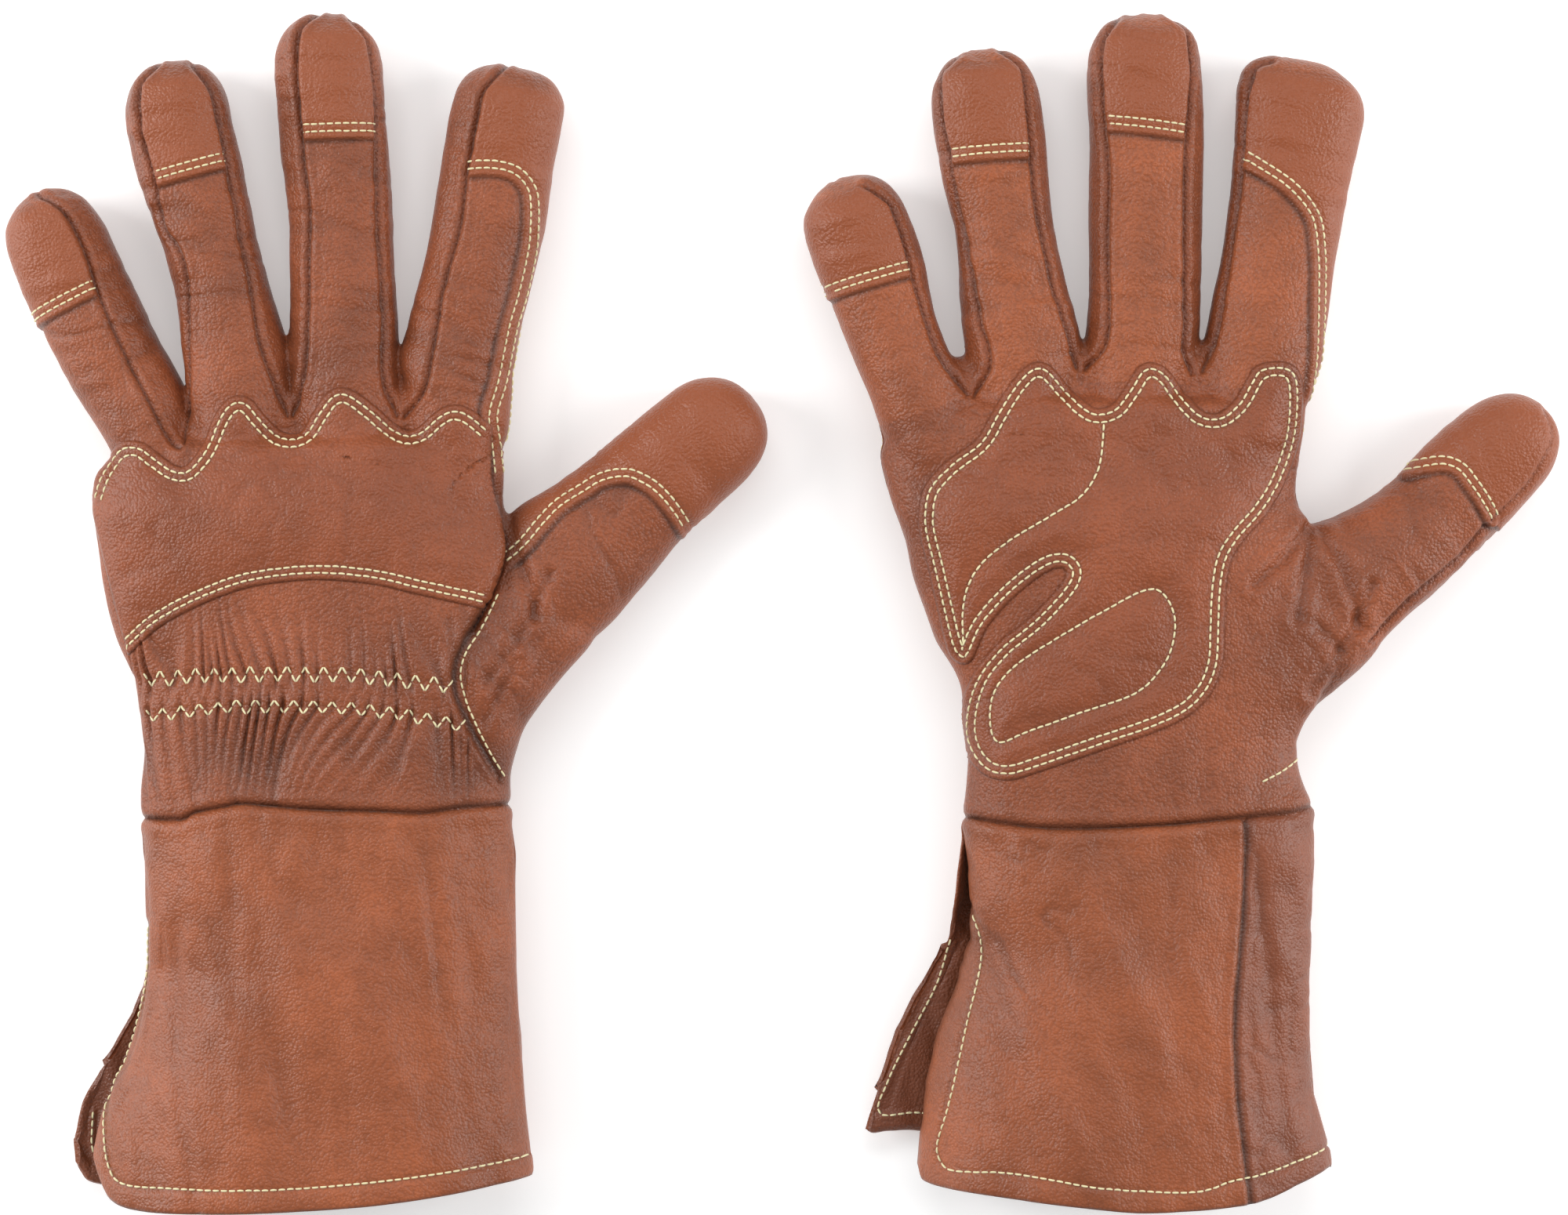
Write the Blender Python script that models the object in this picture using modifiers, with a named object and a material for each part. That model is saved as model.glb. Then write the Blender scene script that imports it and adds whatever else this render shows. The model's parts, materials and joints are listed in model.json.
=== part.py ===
"""A pair of gauntlet welding gloves: the left lies palm down, and the right lies palm up.

Lengths are in millimetres until a mesh is made. In each glove's own plan the origin is the middle of the
wrist seam, +Y runs to the fingertips and +X to the thumb.
"""

import math
from collections import namedtuple

import bpy
from mathutils import Vector

MM = 0.001
LEATHER = 1.2
ELASTIC = 1.5
GAP = 0.4
JOINT_GAP = 0.5
SIDES = 16

HAND_FLOOR = LEATHER + GAP
HAND_HEIGHT = 32.0
HAND_POWER = 3.2
FINGER_POWER = 2.5
CUFF_POWER = 2.6
CUFF_WRIST_HEIGHT = 36.0
CUFF_HEM_HEIGHT = 44.0

FINGER_BASE_HEIGHT = 26.0
FINGER_CAP_HEIGHT = 24.0
TIP_ROUNDING = 15.0
SEAM_ANGLE = 38.0
WRIST_PANEL_END = 0.40
ELASTIC_SPAN = (0.13, 0.25)
SLIT_START = 34.0
SLIT_ANGLE = 13.0
CUFF_SEAM_ANGLE = -24.0

Finger = namedtuple("Finger", "name base tip base_width cap_width cap_at sides")
Glove = namedtuple("Glove", "side wrist palm_up fingers hand front cuff")

# Which seams a finger has: a gusset on both sides, on the thumb side only, or a wrap on the thumb side.
INNER_ONLY, BOTH, WRAPPED, TWO_PANELS = "inner_only", "both", "wrapped", "two_panels"

LEFT = Glove(
    side="left",
    wrist=(-129.8, -57.05),
    palm_up=False,
    fingers=(
        Finger("pinky", (-52.7, 97.5), (-78.0, 176.0), 25.0, 27.0, 0.60, INNER_ONLY),
        Finger("ring", (-25.6, 104.4), (-41.4, 211.2), 29.0, 27.0, 0.70, BOTH),
        Finger("middle", (5.8, 107.9), (-0.2, 224.6), 30.0, 28.5, 0.70, BOTH),
        Finger("index", (36.2, 106.8), (53.6, 209.0), 28.0, 29.5, 0.71, WRAPPED),
        Finger("thumb", (64.4, 70.2), (119.2, 114.6), 37.0, 32.0, 0.46, TWO_PANELS),
    ),
    # Share of the way from wrist to fingers, then the outline's left and right there.
    hand=(
        (0.0, -51.5, 52.3),
        (0.13, -51.4, 52.1),
        (0.25, -51.7, 56.5),
        (0.40, -53.5, 69.0),
        (0.54, -59.0, 74.5),
        (0.795, -64.0, 50.2),
        (1.0, -64.9, 50.1),
    ),
    # Share across the hand, then where the fingers start there.
    front=((-1.0, 93.0), (-0.576, 102.0), (-0.05, 106.7), (0.504, 109.0), (1.0, 104.3)),
    # Distance below the wrist seam, then the outline's left and right there.
    cuff=((0.0, -51.5, 52.5), (34.0, -51.5, 53.0), (70.0, -58.5, 55.0), (107.0, -68.5, 57.6)),
)

RIGHT = Glove(
    side="right",
    wrist=(100.1, -59.65),
    palm_up=True,
    fingers=(
        Finger("pinky", (-61.9, 114.4), (-83.2, 180.2), 25.5, 27.0, 0.57, INNER_ONLY),
        Finger("ring", (-34.1, 120.1), (-44.7, 217.6), 29.0, 27.5, 0.68, BOTH),
        Finger("middle", (-2.3, 122.7), (0.2, 227.3), 30.0, 29.0, 0.67, BOTH),
        Finger("index", (31.0, 120.5), (43.8, 214.5), 29.5, 31.0, 0.67, WRAPPED),
        Finger("thumb", (57.7, 70.1), (113.1, 115.9), 41.0, 30.5, 0.48, TWO_PANELS),
    ),
    hand=(
        (0.0, -51.0, 48.0),
        (0.13, -50.4, 45.5),
        (0.25, -50.6, 48.5),
        (0.40, -55.0, 66.5),
        (0.433, -57.0, 70.1),
        (0.706, -68.0, 42.7),
        (1.0, -74.5, 46.3),
    ),
    front=((-1.0, 110.3), (-0.583, 118.4), (-0.081, 121.9), (0.455, 122.2), (1.0, 118.5)),
    cuff=((0.0, -51.0, 48.0), (34.0, -52.5, 46.5), (70.0, -66.0, 47.5), (107.0, -74.0, 52.5)),
)

# Outlines of the sewn-on patches: share across the hand, share of the way from wrist to fingers.
KNUCKLE_PATCH = (
    (-0.93, 0.80), (-0.80, 0.90), (-0.62, 0.84), (-0.42, 0.88), (-0.24, 0.96), (-0.04, 0.91), (0.18, 0.96),
    (0.42, 0.92), (0.66, 0.96), (0.86, 0.93), (0.90, 0.78), (0.55, 0.63), (0.10, 0.66), (-0.40, 0.62),
    (-0.84, 0.47),
)
PALM_PATCH = (
    (-0.88, 0.80), (-0.60, 0.88), (-0.42, 0.96), (-0.20, 0.91), (0.06, 0.97), (0.34, 0.91), (0.62, 0.96),
    (0.84, 0.96), (0.82, 0.84), (0.40, 0.62), (0.30, 0.40), (0.12, 0.26), (-0.40, 0.14), (-0.84, 0.12),
    (-0.90, 0.28), (-0.72, 0.42), (-0.30, 0.56), (-0.40, 0.62), (-0.74, 0.52), (-0.86, 0.46),
)


def clear_scene():
    for old in list(bpy.data.objects):
        bpy.data.objects.remove(old, do_unlink=True)


def make_collection(name):
    found = bpy.data.collections.new(name)
    bpy.context.scene.collection.children.link(found)
    return found


def make_material(name, color, roughness):
    material = bpy.data.materials.new(name)
    material.use_nodes = True
    shader = material.node_tree.nodes["Principled BSDF"]
    shader.inputs["Base Color"].default_value = (*color, 1.0)
    shader.inputs["Roughness"].default_value = roughness
    shader.inputs["Metallic"].default_value = 0.0
    material.diffuse_color = (*color, 1.0)
    return material


def between(table, at, column=1):
    """Straight-line interpolation in a table whose first column rises."""
    for low, high in zip(table, table[1:]):
        if at <= high[0]:
            share = (at - low[0]) / (high[0] - low[0])
            return low[column] + share * (high[column] - low[column])
    return table[-1][column]


def oval(angle, power):
    """A point of the unit superellipse, as (across, up)."""
    c = math.cos(math.radians(angle))
    s = math.sin(math.radians(angle))
    across = math.copysign(abs(c) ** (2 / power), c)
    up = math.copysign(abs(s) ** (2 / power), s)
    return across, up


def spread(low, high, steps):
    return [low + (high - low) * i / steps for i in range(steps + 1)]


class Tube:
    """The outer surface of a finger, from its hinge at the hand to its rounded tip."""

    def __init__(self, glove, finger):
        self.glove = glove
        self.finger = finger
        self.base = Vector(finger.base) + Vector(glove.wrist)
        reach = Vector(finger.tip) - Vector(finger.base)
        self.length = reach.length
        self.along = reach.normalized()
        self.across = Vector((self.along.y, -self.along.x))
        self.cap = self.length * finger.cap_at

    def height(self, s):
        share = min(s / self.cap, 1.0)
        return FINGER_BASE_HEIGHT + share * (FINGER_CAP_HEIGHT - FINGER_BASE_HEIGHT)

    def point(self, s, angle):
        """The surface point at s millimetres from the hinge; 0 degrees is the thumb side, 90 is up."""
        across, up = oval(angle, FINGER_POWER)
        share = min(s / self.cap, 1.0)
        width = self.finger.base_width + share * (self.finger.cap_width - self.finger.base_width)
        past = max(0.0, s - (self.length - TIP_ROUNDING)) / TIP_ROUNDING
        closing = math.sqrt(max(0.0, 1.0 - past * past))
        half = self.height(s) / 2
        plan = self.base + self.along * s + self.across * (across * closing * width / 2)
        return Vector((plan.x, plan.y, half + up * closing * half))

    def hinge(self, s):
        """The hinge's place on the palm side, and its axis, about which a positive turn curls to the palm."""
        plan = self.base + self.along * s
        z = self.height(s) if self.glove.palm_up else 0.0
        sign = 1.0 if self.glove.palm_up else -1.0
        return Vector((plan.x, plan.y, z)), Vector((*(self.across * sign), 0.0))


def hand_plan(glove, u, v):
    """A plan point of the hand: u runs -1 to 1 across it, v runs 0 to 1 from the wrist to the fingers."""
    left = between(glove.hand, v, 1)
    right = between(glove.hand, v, 2)
    x = left + (right - left) * (u + 1) / 2
    front = between(glove.front, u) - 2 * JOINT_GAP
    y = JOINT_GAP + v * (front - JOINT_GAP)
    return Vector((x, y)) + Vector(glove.wrist)


def hand_point(glove, angle, v, inset=0.0):
    """A point of the hand's outer surface, or of a surface inset within it."""
    across, up = oval(angle, HAND_POWER)
    half = HAND_HEIGHT / 2
    plan = hand_plan(glove, across * (1 - inset / 50), v)
    return Vector((plan.x, plan.y, HAND_FLOOR + half + up * (half - inset)))


def cuff_point(glove, angle, below):
    """A point of the cuff's outer surface, so far below the wrist seam."""
    across, up = oval(angle, CUFF_POWER)
    left = between(glove.cuff, below, 1)
    right = between(glove.cuff, below, 2)
    share = below / glove.cuff[-1][0]
    half = (CUFF_WRIST_HEIGHT + share * (CUFF_HEM_HEIGHT - CUFF_WRIST_HEIGHT)) / 2
    x = (left + right) / 2 + across * (right - left) / 2
    return Vector((x + glove.wrist[0], glove.wrist[1] - JOINT_GAP - below, half + up * half))


def cuff_hinge(glove):
    z = CUFF_WRIST_HEIGHT if glove.palm_up else 0.0
    axis = Vector((-1.0, 0.0, 0.0)) if glove.palm_up else Vector((1.0, 0.0, 0.0))
    return Vector((glove.wrist[0], glove.wrist[1], z)), axis


def make_pivot(collection, name, place):
    pivot = bpy.data.objects.new(name, None)
    pivot.empty_display_size = 0.01
    pivot.location = place * MM
    collection.objects.link(pivot)
    return pivot


def make_shell(kit, name, pivot, rows, material, thickness=LEATHER, closed=False):
    """Leather over rows of points: an open strip, or a closed ring whose last row is filled."""
    collection, materials = kit
    count = len(rows[0])
    start = pivot.location / MM
    points = [(p - start) * MM for row in rows for p in row]
    faces = []
    for i in range(len(rows) - 1):
        for j in range(count if closed else count - 1):
            k = (j + 1) % count
            faces.append((i * count + j, (i + 1) * count + j, (i + 1) * count + k, i * count + k))
    if closed:
        last = (len(rows) - 1) * count
        faces.append([last + j for j in reversed(range(count))])
    mesh = bpy.data.meshes.new(name)
    mesh.from_pydata(points, [], faces)
    mesh.shade_smooth()
    mesh.materials.append(materials[material])
    made = bpy.data.objects.new(name, mesh)
    collection.objects.link(made)
    made.parent = pivot
    skin = made.modifiers.new("skin", "SOLIDIFY")
    skin.thickness = thickness * MM
    skin.offset = -1.0
    skin.use_even_offset = True
    return made


def make_patch(kit, name, pivot, glove, outline, bottom):
    """A flat sewn-on leather patch, cut to an outline on the hand."""
    collection, materials = kit
    curve = bpy.data.curves.new(name, "CURVE")
    curve.dimensions = "2D"
    curve.fill_mode = "BOTH"
    curve.extrude = LEATHER / 2 * MM
    spline = curve.splines.new("POLY")
    spline.points.add(len(outline) - 1)
    spline.use_cyclic_u = True
    start = pivot.location
    for point, (u, v) in zip(spline.points, outline):
        plan = hand_plan(glove, u, v) * MM
        point.co = (plan.x - start.x, plan.y - start.y, 0.0, 1.0)
    curve.materials.append(materials["patch_leather"])
    made = bpy.data.objects.new(name, curve)
    collection.objects.link(made)
    made.parent = pivot
    made.location.z = (bottom + LEATHER / 2) * MM - start.z
    return made


def finger_seams(glove, finger):
    """The panels round a finger, as (name, first angle, last angle, material)."""
    a = SEAM_ANGLE
    back = (a, 180 - a)
    palm = (180 + a, 360 - a)
    if glove.palm_up:
        back, palm = palm, back
    if finger.sides == TWO_PANELS:
        upper = ("palm_panel" if glove.palm_up else "back_panel", 10.0, 200.0)
        lower = ("back_panel" if glove.palm_up else "palm_panel", 200.0, 370.0)
        return [(n, lo, hi, "hand_leather") for n, lo, hi in (upper, lower)]
    panels = [("back_strip", *back, "hand_leather"), ("palm_strip", *palm, "hand_leather")]
    if finger.sides == INNER_ONLY:
        widened = (a, 180 + a) if glove.palm_up else (180 - a, 360 - a)
        panels[1] = ("palm_strip", *widened, "hand_leather")
        if glove.palm_up:
            panels[0] = ("back_strip", 180 + a, 360 - a, "hand_leather")
    if finger.sides in (BOTH, WRAPPED):
        panels.append(("outer_fourchette", 180 - a, 180 + a, "gusset_leather"))
    if finger.sides in (BOTH, INNER_ONLY):
        panels.append(("inner_fourchette", -a, a, "gusset_leather"))
    if finger.sides == WRAPPED:
        panels.append(("side_wrap", -a, a, "tip_leather"))
    return panels


def seam_clearance(finger):
    """Half the gap between two panels, in degrees round the finger."""
    turns = 2 if finger.sides == TWO_PANELS else 1
    return math.degrees(turns * GAP / (finger.base_width / 2))


def make_finger(kit, glove, finger):
    collection = kit[0]
    tube = Tube(glove, finger)
    label = f"{glove.side}_{finger.name}"
    base = make_pivot(collection, f"{label}_pivot", tube.hinge(0.0)[0])
    slack = seam_clearance(finger)
    for panel, low, high, material in finger_seams(glove, finger):
        steps = max(4, round((high - low) / 22))
        angles = spread(low + slack, high - slack, steps)
        rows = [[tube.point(s, a) for a in angles] for s in spread(JOINT_GAP, tube.cap - JOINT_GAP, 4)]
        make_shell(kit, f"{label}_{panel}", base, rows, material)
    tip = make_pivot(collection, f"{label}_tip_pivot", tube.hinge(tube.cap)[0])
    straight = spread(tube.cap + JOINT_GAP, tube.length - TIP_ROUNDING, 2)
    rounded = [tube.length - TIP_ROUNDING * (1 - math.sin(math.radians(a))) for a in (25, 48, 66, 78)]
    angles = spread(0.0, 360.0, SIDES)[:-1]
    rows = [[tube.point(s, a) for a in angles] for s in straight + rounded]
    make_shell(kit, f"{label}_tip_cap", tip, rows, "tip_leather", closed=True)


def make_hand(kit, glove):
    """The hand's back and palm, its wrist panel, the elastic inside that, and the two sewn-on patches."""
    side = glove.side
    pivot = make_pivot(kit[0], f"{side}_hand_pivot", Vector((*glove.wrist, 0.0)))
    slack = 1.0
    upper = spread(slack, 180 - slack, 14)
    lower = spread(180 + slack, 360 - slack, 14)
    back, palm = (lower, upper) if glove.palm_up else (upper, lower)
    stations = [row[0] for row in glove.hand]
    wrist = [v for v in stations if v < WRIST_PANEL_END] + [WRIST_PANEL_END - 0.003]
    above = [WRIST_PANEL_END + 0.003] + [v for v in stations if v > WRIST_PANEL_END]

    def rows(angles, levels, inset=0.0):
        return [[hand_point(glove, a, v, inset) for a in angles] for v in levels]

    make_shell(kit, f"{side}_palm_panel", pivot, rows(palm, stations), "hand_leather")
    make_shell(kit, f"{side}_back_panel", pivot, rows(back, above), "hand_leather")
    make_shell(kit, f"{side}_wrist_panel", pivot, rows(back, wrist), "wrist_leather")
    band = spread(back[0] + 40, back[-1] - 40, 8)
    inset = LEATHER + GAP
    levels = spread(*ELASTIC_SPAN, 2)
    make_shell(kit, f"{side}_wrist_elastic", pivot, rows(band, levels, inset), "elastic", ELASTIC)
    below, over = 0.0, HAND_FLOOR + HAND_HEIGHT + GAP
    back_level, palm_level = (below, over) if glove.palm_up else (over, below)
    make_patch(kit, f"{side}_knuckle_patch", pivot, glove, KNUCKLE_PATCH, back_level)
    make_patch(kit, f"{side}_palm_patch", pivot, glove, PALM_PATCH, palm_level)


def make_cuff(kit, glove):
    """The gauntlet: a palm piece, and a back piece that wraps round the thumb side, slit on the other side."""
    pivot = make_pivot(kit[0], f"{glove.side}_cuff_pivot", cuff_hinge(glove)[0])
    depth = glove.cuff[-1][0]
    levels = [depth, 88.0, 70.0, 52.0, SLIT_START, 17.0, 0.0]
    upper_rows = []
    lower_rows = []
    seam = -CUFF_SEAM_ANGLE if glove.palm_up else CUFF_SEAM_ANGLE
    for below in levels:
        opening = 0.6 + SLIT_ANGLE * max(0.0, below - SLIT_START) / (depth - SLIT_START)
        upper = spread(seam + 0.6, 180 - opening, 15)
        lower = spread(180 + opening, 360 + seam - 0.6, 15)
        upper_rows.append([cuff_point(glove, a, below) for a in upper])
        lower_rows.append([cuff_point(glove, a, below) for a in lower])
    back, palm = (lower_rows, upper_rows) if glove.palm_up else (upper_rows, lower_rows)
    make_shell(kit, f"{glove.side}_cuff_back", pivot, back, "cuff_leather")
    make_shell(kit, f"{glove.side}_cuff_palm", pivot, palm, "cuff_leather")


def make_materials():
    return {
        "hand_leather": make_material("hand_leather", (0.36, 0.125, 0.058), 0.55),
        "wrist_leather": make_material("wrist_leather", (0.30, 0.100, 0.050), 0.58),
        "gusset_leather": make_material("gusset_leather", (0.32, 0.108, 0.052), 0.56),
        "tip_leather": make_material("tip_leather", (0.39, 0.140, 0.065), 0.60),
        "patch_leather": make_material("patch_leather", (0.35, 0.120, 0.056), 0.55),
        "cuff_leather": make_material("cuff_leather", (0.41, 0.145, 0.060), 0.50),
        "elastic": make_material("elastic", (0.62, 0.56, 0.42), 0.85),
    }


def main():
    clear_scene()
    kit = (make_collection("welding_gloves"), make_materials())
    for glove in (LEFT, RIGHT):
        make_hand(kit, glove)
        make_cuff(kit, glove)
        for finger in glove.fingers:
            make_finger(kit, glove, finger)


main()
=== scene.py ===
"""The looks of a pair of leather gauntlet welding gloves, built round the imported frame.

Each glove's plan has its origin at the middle of the wrist seam, +X towards the thumb and +Y towards the
fingertips. Lengths are in millimetres until a mesh is made. The back design is drawn on the left glove's plan
and the palm design on the right glove's; each is carried over to the other glove, where it lies underneath.
"""

import json
import math

import bpy
import numpy as np
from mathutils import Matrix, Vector
from mathutils.bvhtree import BVHTree
from mathutils.geometry import delaunay_2d_cdt


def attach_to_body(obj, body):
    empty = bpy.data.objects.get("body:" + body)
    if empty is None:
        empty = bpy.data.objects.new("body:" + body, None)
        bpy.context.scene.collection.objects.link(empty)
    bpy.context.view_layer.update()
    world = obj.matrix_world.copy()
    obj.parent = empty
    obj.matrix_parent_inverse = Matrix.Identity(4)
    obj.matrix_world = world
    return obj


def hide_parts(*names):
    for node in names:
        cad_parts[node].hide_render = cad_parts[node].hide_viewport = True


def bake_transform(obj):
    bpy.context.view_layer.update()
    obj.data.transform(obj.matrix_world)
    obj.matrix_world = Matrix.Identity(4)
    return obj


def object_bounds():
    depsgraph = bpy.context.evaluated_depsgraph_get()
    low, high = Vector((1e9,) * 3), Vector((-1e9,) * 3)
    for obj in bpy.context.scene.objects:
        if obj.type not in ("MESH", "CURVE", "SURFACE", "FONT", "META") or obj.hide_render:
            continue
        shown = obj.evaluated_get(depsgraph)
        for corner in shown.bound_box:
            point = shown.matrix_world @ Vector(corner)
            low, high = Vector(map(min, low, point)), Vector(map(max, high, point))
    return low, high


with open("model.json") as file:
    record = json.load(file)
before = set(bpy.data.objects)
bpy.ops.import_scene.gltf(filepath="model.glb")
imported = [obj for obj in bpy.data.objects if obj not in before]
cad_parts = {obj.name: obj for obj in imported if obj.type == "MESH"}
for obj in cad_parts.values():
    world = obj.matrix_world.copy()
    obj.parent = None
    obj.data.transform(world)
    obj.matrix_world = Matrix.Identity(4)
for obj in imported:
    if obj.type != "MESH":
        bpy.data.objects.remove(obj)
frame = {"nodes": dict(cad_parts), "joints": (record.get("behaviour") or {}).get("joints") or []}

CAD_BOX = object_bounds()

MM = 0.001
VOXEL = 0.6
SMOOTH_ROUNDS = 14
PATCH_STEP = 0.75
CUFF_STEP = 0.9
CUFF_AROUND, CUFF_DOWN = 165, 112
SKIN_FLOOR = 1.2
SIDE_BAND = (9.0, 18.0)
SIDE_MIDDLE = 13.0
HOLLOW_TOP = 62.0
FINGER_REACH = 34.0
HAND_HEIGHT = 31.0
WRIST_HEIGHT = 33.0
FINGER_HEIGHT = 24.0
BASE_HEIGHT = {"finger": 26.0, "thumb": 27.0}
HAND_POWER = 2.7
FINGER_POWER = 2.35
OVERLAY = 0.9
PATCH = 1.1
TIP_ROUND = 15.5
WRIST_SPLIT = 21.0
TIP_SPLIT = 9.0
STITCH_PITCH = 2.3
STITCH_LENGTH = 1.95
THREAD_RADIUS = 0.3
ROW_GAP = 2.1
LINE_STEP = 0.8

KNUCKLE_LEVEL = 100.0
WEB_PLACE = (52.0, 45.0)

FINGERS = ("pinky", "ring", "middle", "index", "thumb")

# Finger outlines: distance from the hinge, then the left and the right edge from the finger's axis.
OUTLINES = {
    "left": {
        "pinky": ((-14, -6, 12), (0, -6, 15), (8, -6.2, 18.5), (15, -7, 20), (24, -9.5, 18.3),
                  (34, -11.2, 16.2), (47, -13.2, 15), (58, -14, 13.4), (66, -14.4, 12.2), (82, -14, 11)),
        "ring": ((-14, -12, 14), (0, -13, 15), (10, -11, 18.5), (22, -8.7, 20.2), (30, -9, 18.5),
                 (43, -8.9, 16.4), (56, -10.3, 15.4), (67, -12.7, 14.7), (79, -15.3, 14.2), (92, -15.9, 13),
                 (108.5, -14.5, 12)),
        "middle": ((-14, -13, 14), (0, -14, 15.5), (10, -14, 17), (22, -13.3, 17), (44, -12, 16.7),
                   (60, -11.4, 17), (77, -13, 17), (90, -13.4, 16.2), (100, -13.5, 15.9), (117.2, -13, 14.8)),
        "index": ((-14, -12, 14), (0, -13.8, 15), (10, -16, 14.6), (18, -17.3, 14), (24, -16.5, 14),
                  (35, -15.5, 14.3), (48, -14.4, 15), (60, -14.3, 15.9), (78, -14.7, 15.3), (88, -14.9, 15.5),
                  (104.5, -13.5, 16.3)),
        "thumb": ((-16, -17, 24), (0, -17.8, 24.5), (10, -16.2, 23), (20, -15.8, 21.4), (30, -15.7, 19),
                  (40, -15.7, 17.6), (56, -15.7, 16.5), (72, -14.5, 15)),
    },
    "right": {
        "pinky": ((-14, -11, 13), (0, -12, 14.5), (8, -11.8, 14), (17, -13, 12.3), (26, -13.6, 12),
                  (35, -14.1, 13.4), (42, -14.5, 14.4), (52, -15, 13.9), (70.3, -14.5, 13)),
        "ring": ((-14, -12, 14), (0, -13.5, 16), (9, -14, 19), (16, -14, 18.6), (24, -13.9, 17),
                 (39, -12.7, 15), (50, -12.7, 14.3), (60, -14.2, 14.6), (70, -15.6, 15), (80, -15.9, 14.9),
                 (98, -14.5, 13.6)),
        "middle": ((-14, -13, 14), (0, -14, 15.8), (10, -13.4, 18.6), (24, -12.5, 18.6), (48, -13.3, 18.5),
                   (70, -13.3, 18.4), (84, -14.7, 17.6), (105, -14, 16.5)),
        "index": ((-14, -13, 14), (0, -14.5, 17), (11, -14.4, 18.2), (23, -13.7, 18), (37, -12.7, 17.7),
                  (50, -12.7, 18.2), (60, -12.8, 18.6), (70, -13.4, 19.6), (79, -14.2, 20.6), (84, -15, 20.6),
                  (95.2, -16.5, 15)),
        "thumb": ((-16, -19, 23), (-4, -19, 22.3), (2, -14.5, 21.5), (10, -12.4, 21.2), (18, -12, 20.4),
                  (26, -11.2, 19.4), (36, -12.6, 18.5), (46, -13.6, 17.3), (56, -13.4, 15.6),
                  (72.2, -12, 13.5)),
    },
}

# How far a finger's left and right sides are moved outwards from its outline.
GROWTH = {("left", "finger"): (1.3, -0.6), ("left", "thumb"): (-0.6, -0.8), ("right", "finger"): (-0.2, 0.7),
          ("right", "thumb"): (-1.5, 0.9)}

# The hand's outline: distance above the wrist seam, then the left and the right edge.
HANDS = {
    "left": ((-7, -50, 51), (-1.5, -50.2, 51.3), (0.5, -51.5, 53), (11, -50.5, 53), (22, -50.5, 56),
             (30, -51.9, 61.5), (37, -52.4, 67), (42, -55.4, 71.5), (48, -58.1, 77), (56, -60.4, 76),
             (66, -62.4, 68), (74, -63.4, 60), (84, -64.9, 50.5), (96, -64.4, 50), (104, -50.9, 50)),
    "right": ((-7, -49, 48.2), (-1.5, -49.2, 48.4), (0.5, -50, 50.2), (12, -48.8, 44.9),
             (21, -48.3, 43.4), (30, -49.8, 47.4), (37, -49.8, 56), (43, -52.5, 63), (50, -57.5, 69),
             (58, -60, 66), (68, -64, 58), (79, -66, 50), (90, -70.2, 43.4), (104, -73.7, 45.4),
             (112, -67.7, 46.9), (118, -48.7, 46.9)),
}

# Each glove's core plan, by which a design is carried from one glove to the other.
CORE_LEVELS = (0.0, 0.2, 0.35, 0.5, 0.7, 0.85, 1.0)
CORES = {
    "left": {"left": (-51.5, -51.0, -51.5, -56.0, -61.5, -64.0, -64.5),
             "right": (52.5, 47.0, 41.0, 44.0, 50.0, 51.5, 51.0),
             "across": (-1.0, -0.576, -0.05, 0.5, 1.0), "front": (93.0, 102.0, 106.7, 109.0, 104.5)},
    "right": {"left": (-50.5, -49.0, -51.0, -59.0, -67.0, -71.5, -74.5),
              "right": (49.0, 44.0, 43.0, 43.0, 45.0, 46.0, 47.0),
              "across": (-1.0, -0.58, -0.08, 0.455, 1.0), "front": (110.3, 118.4, 121.9, 122.2, 118.5)},
}

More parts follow.
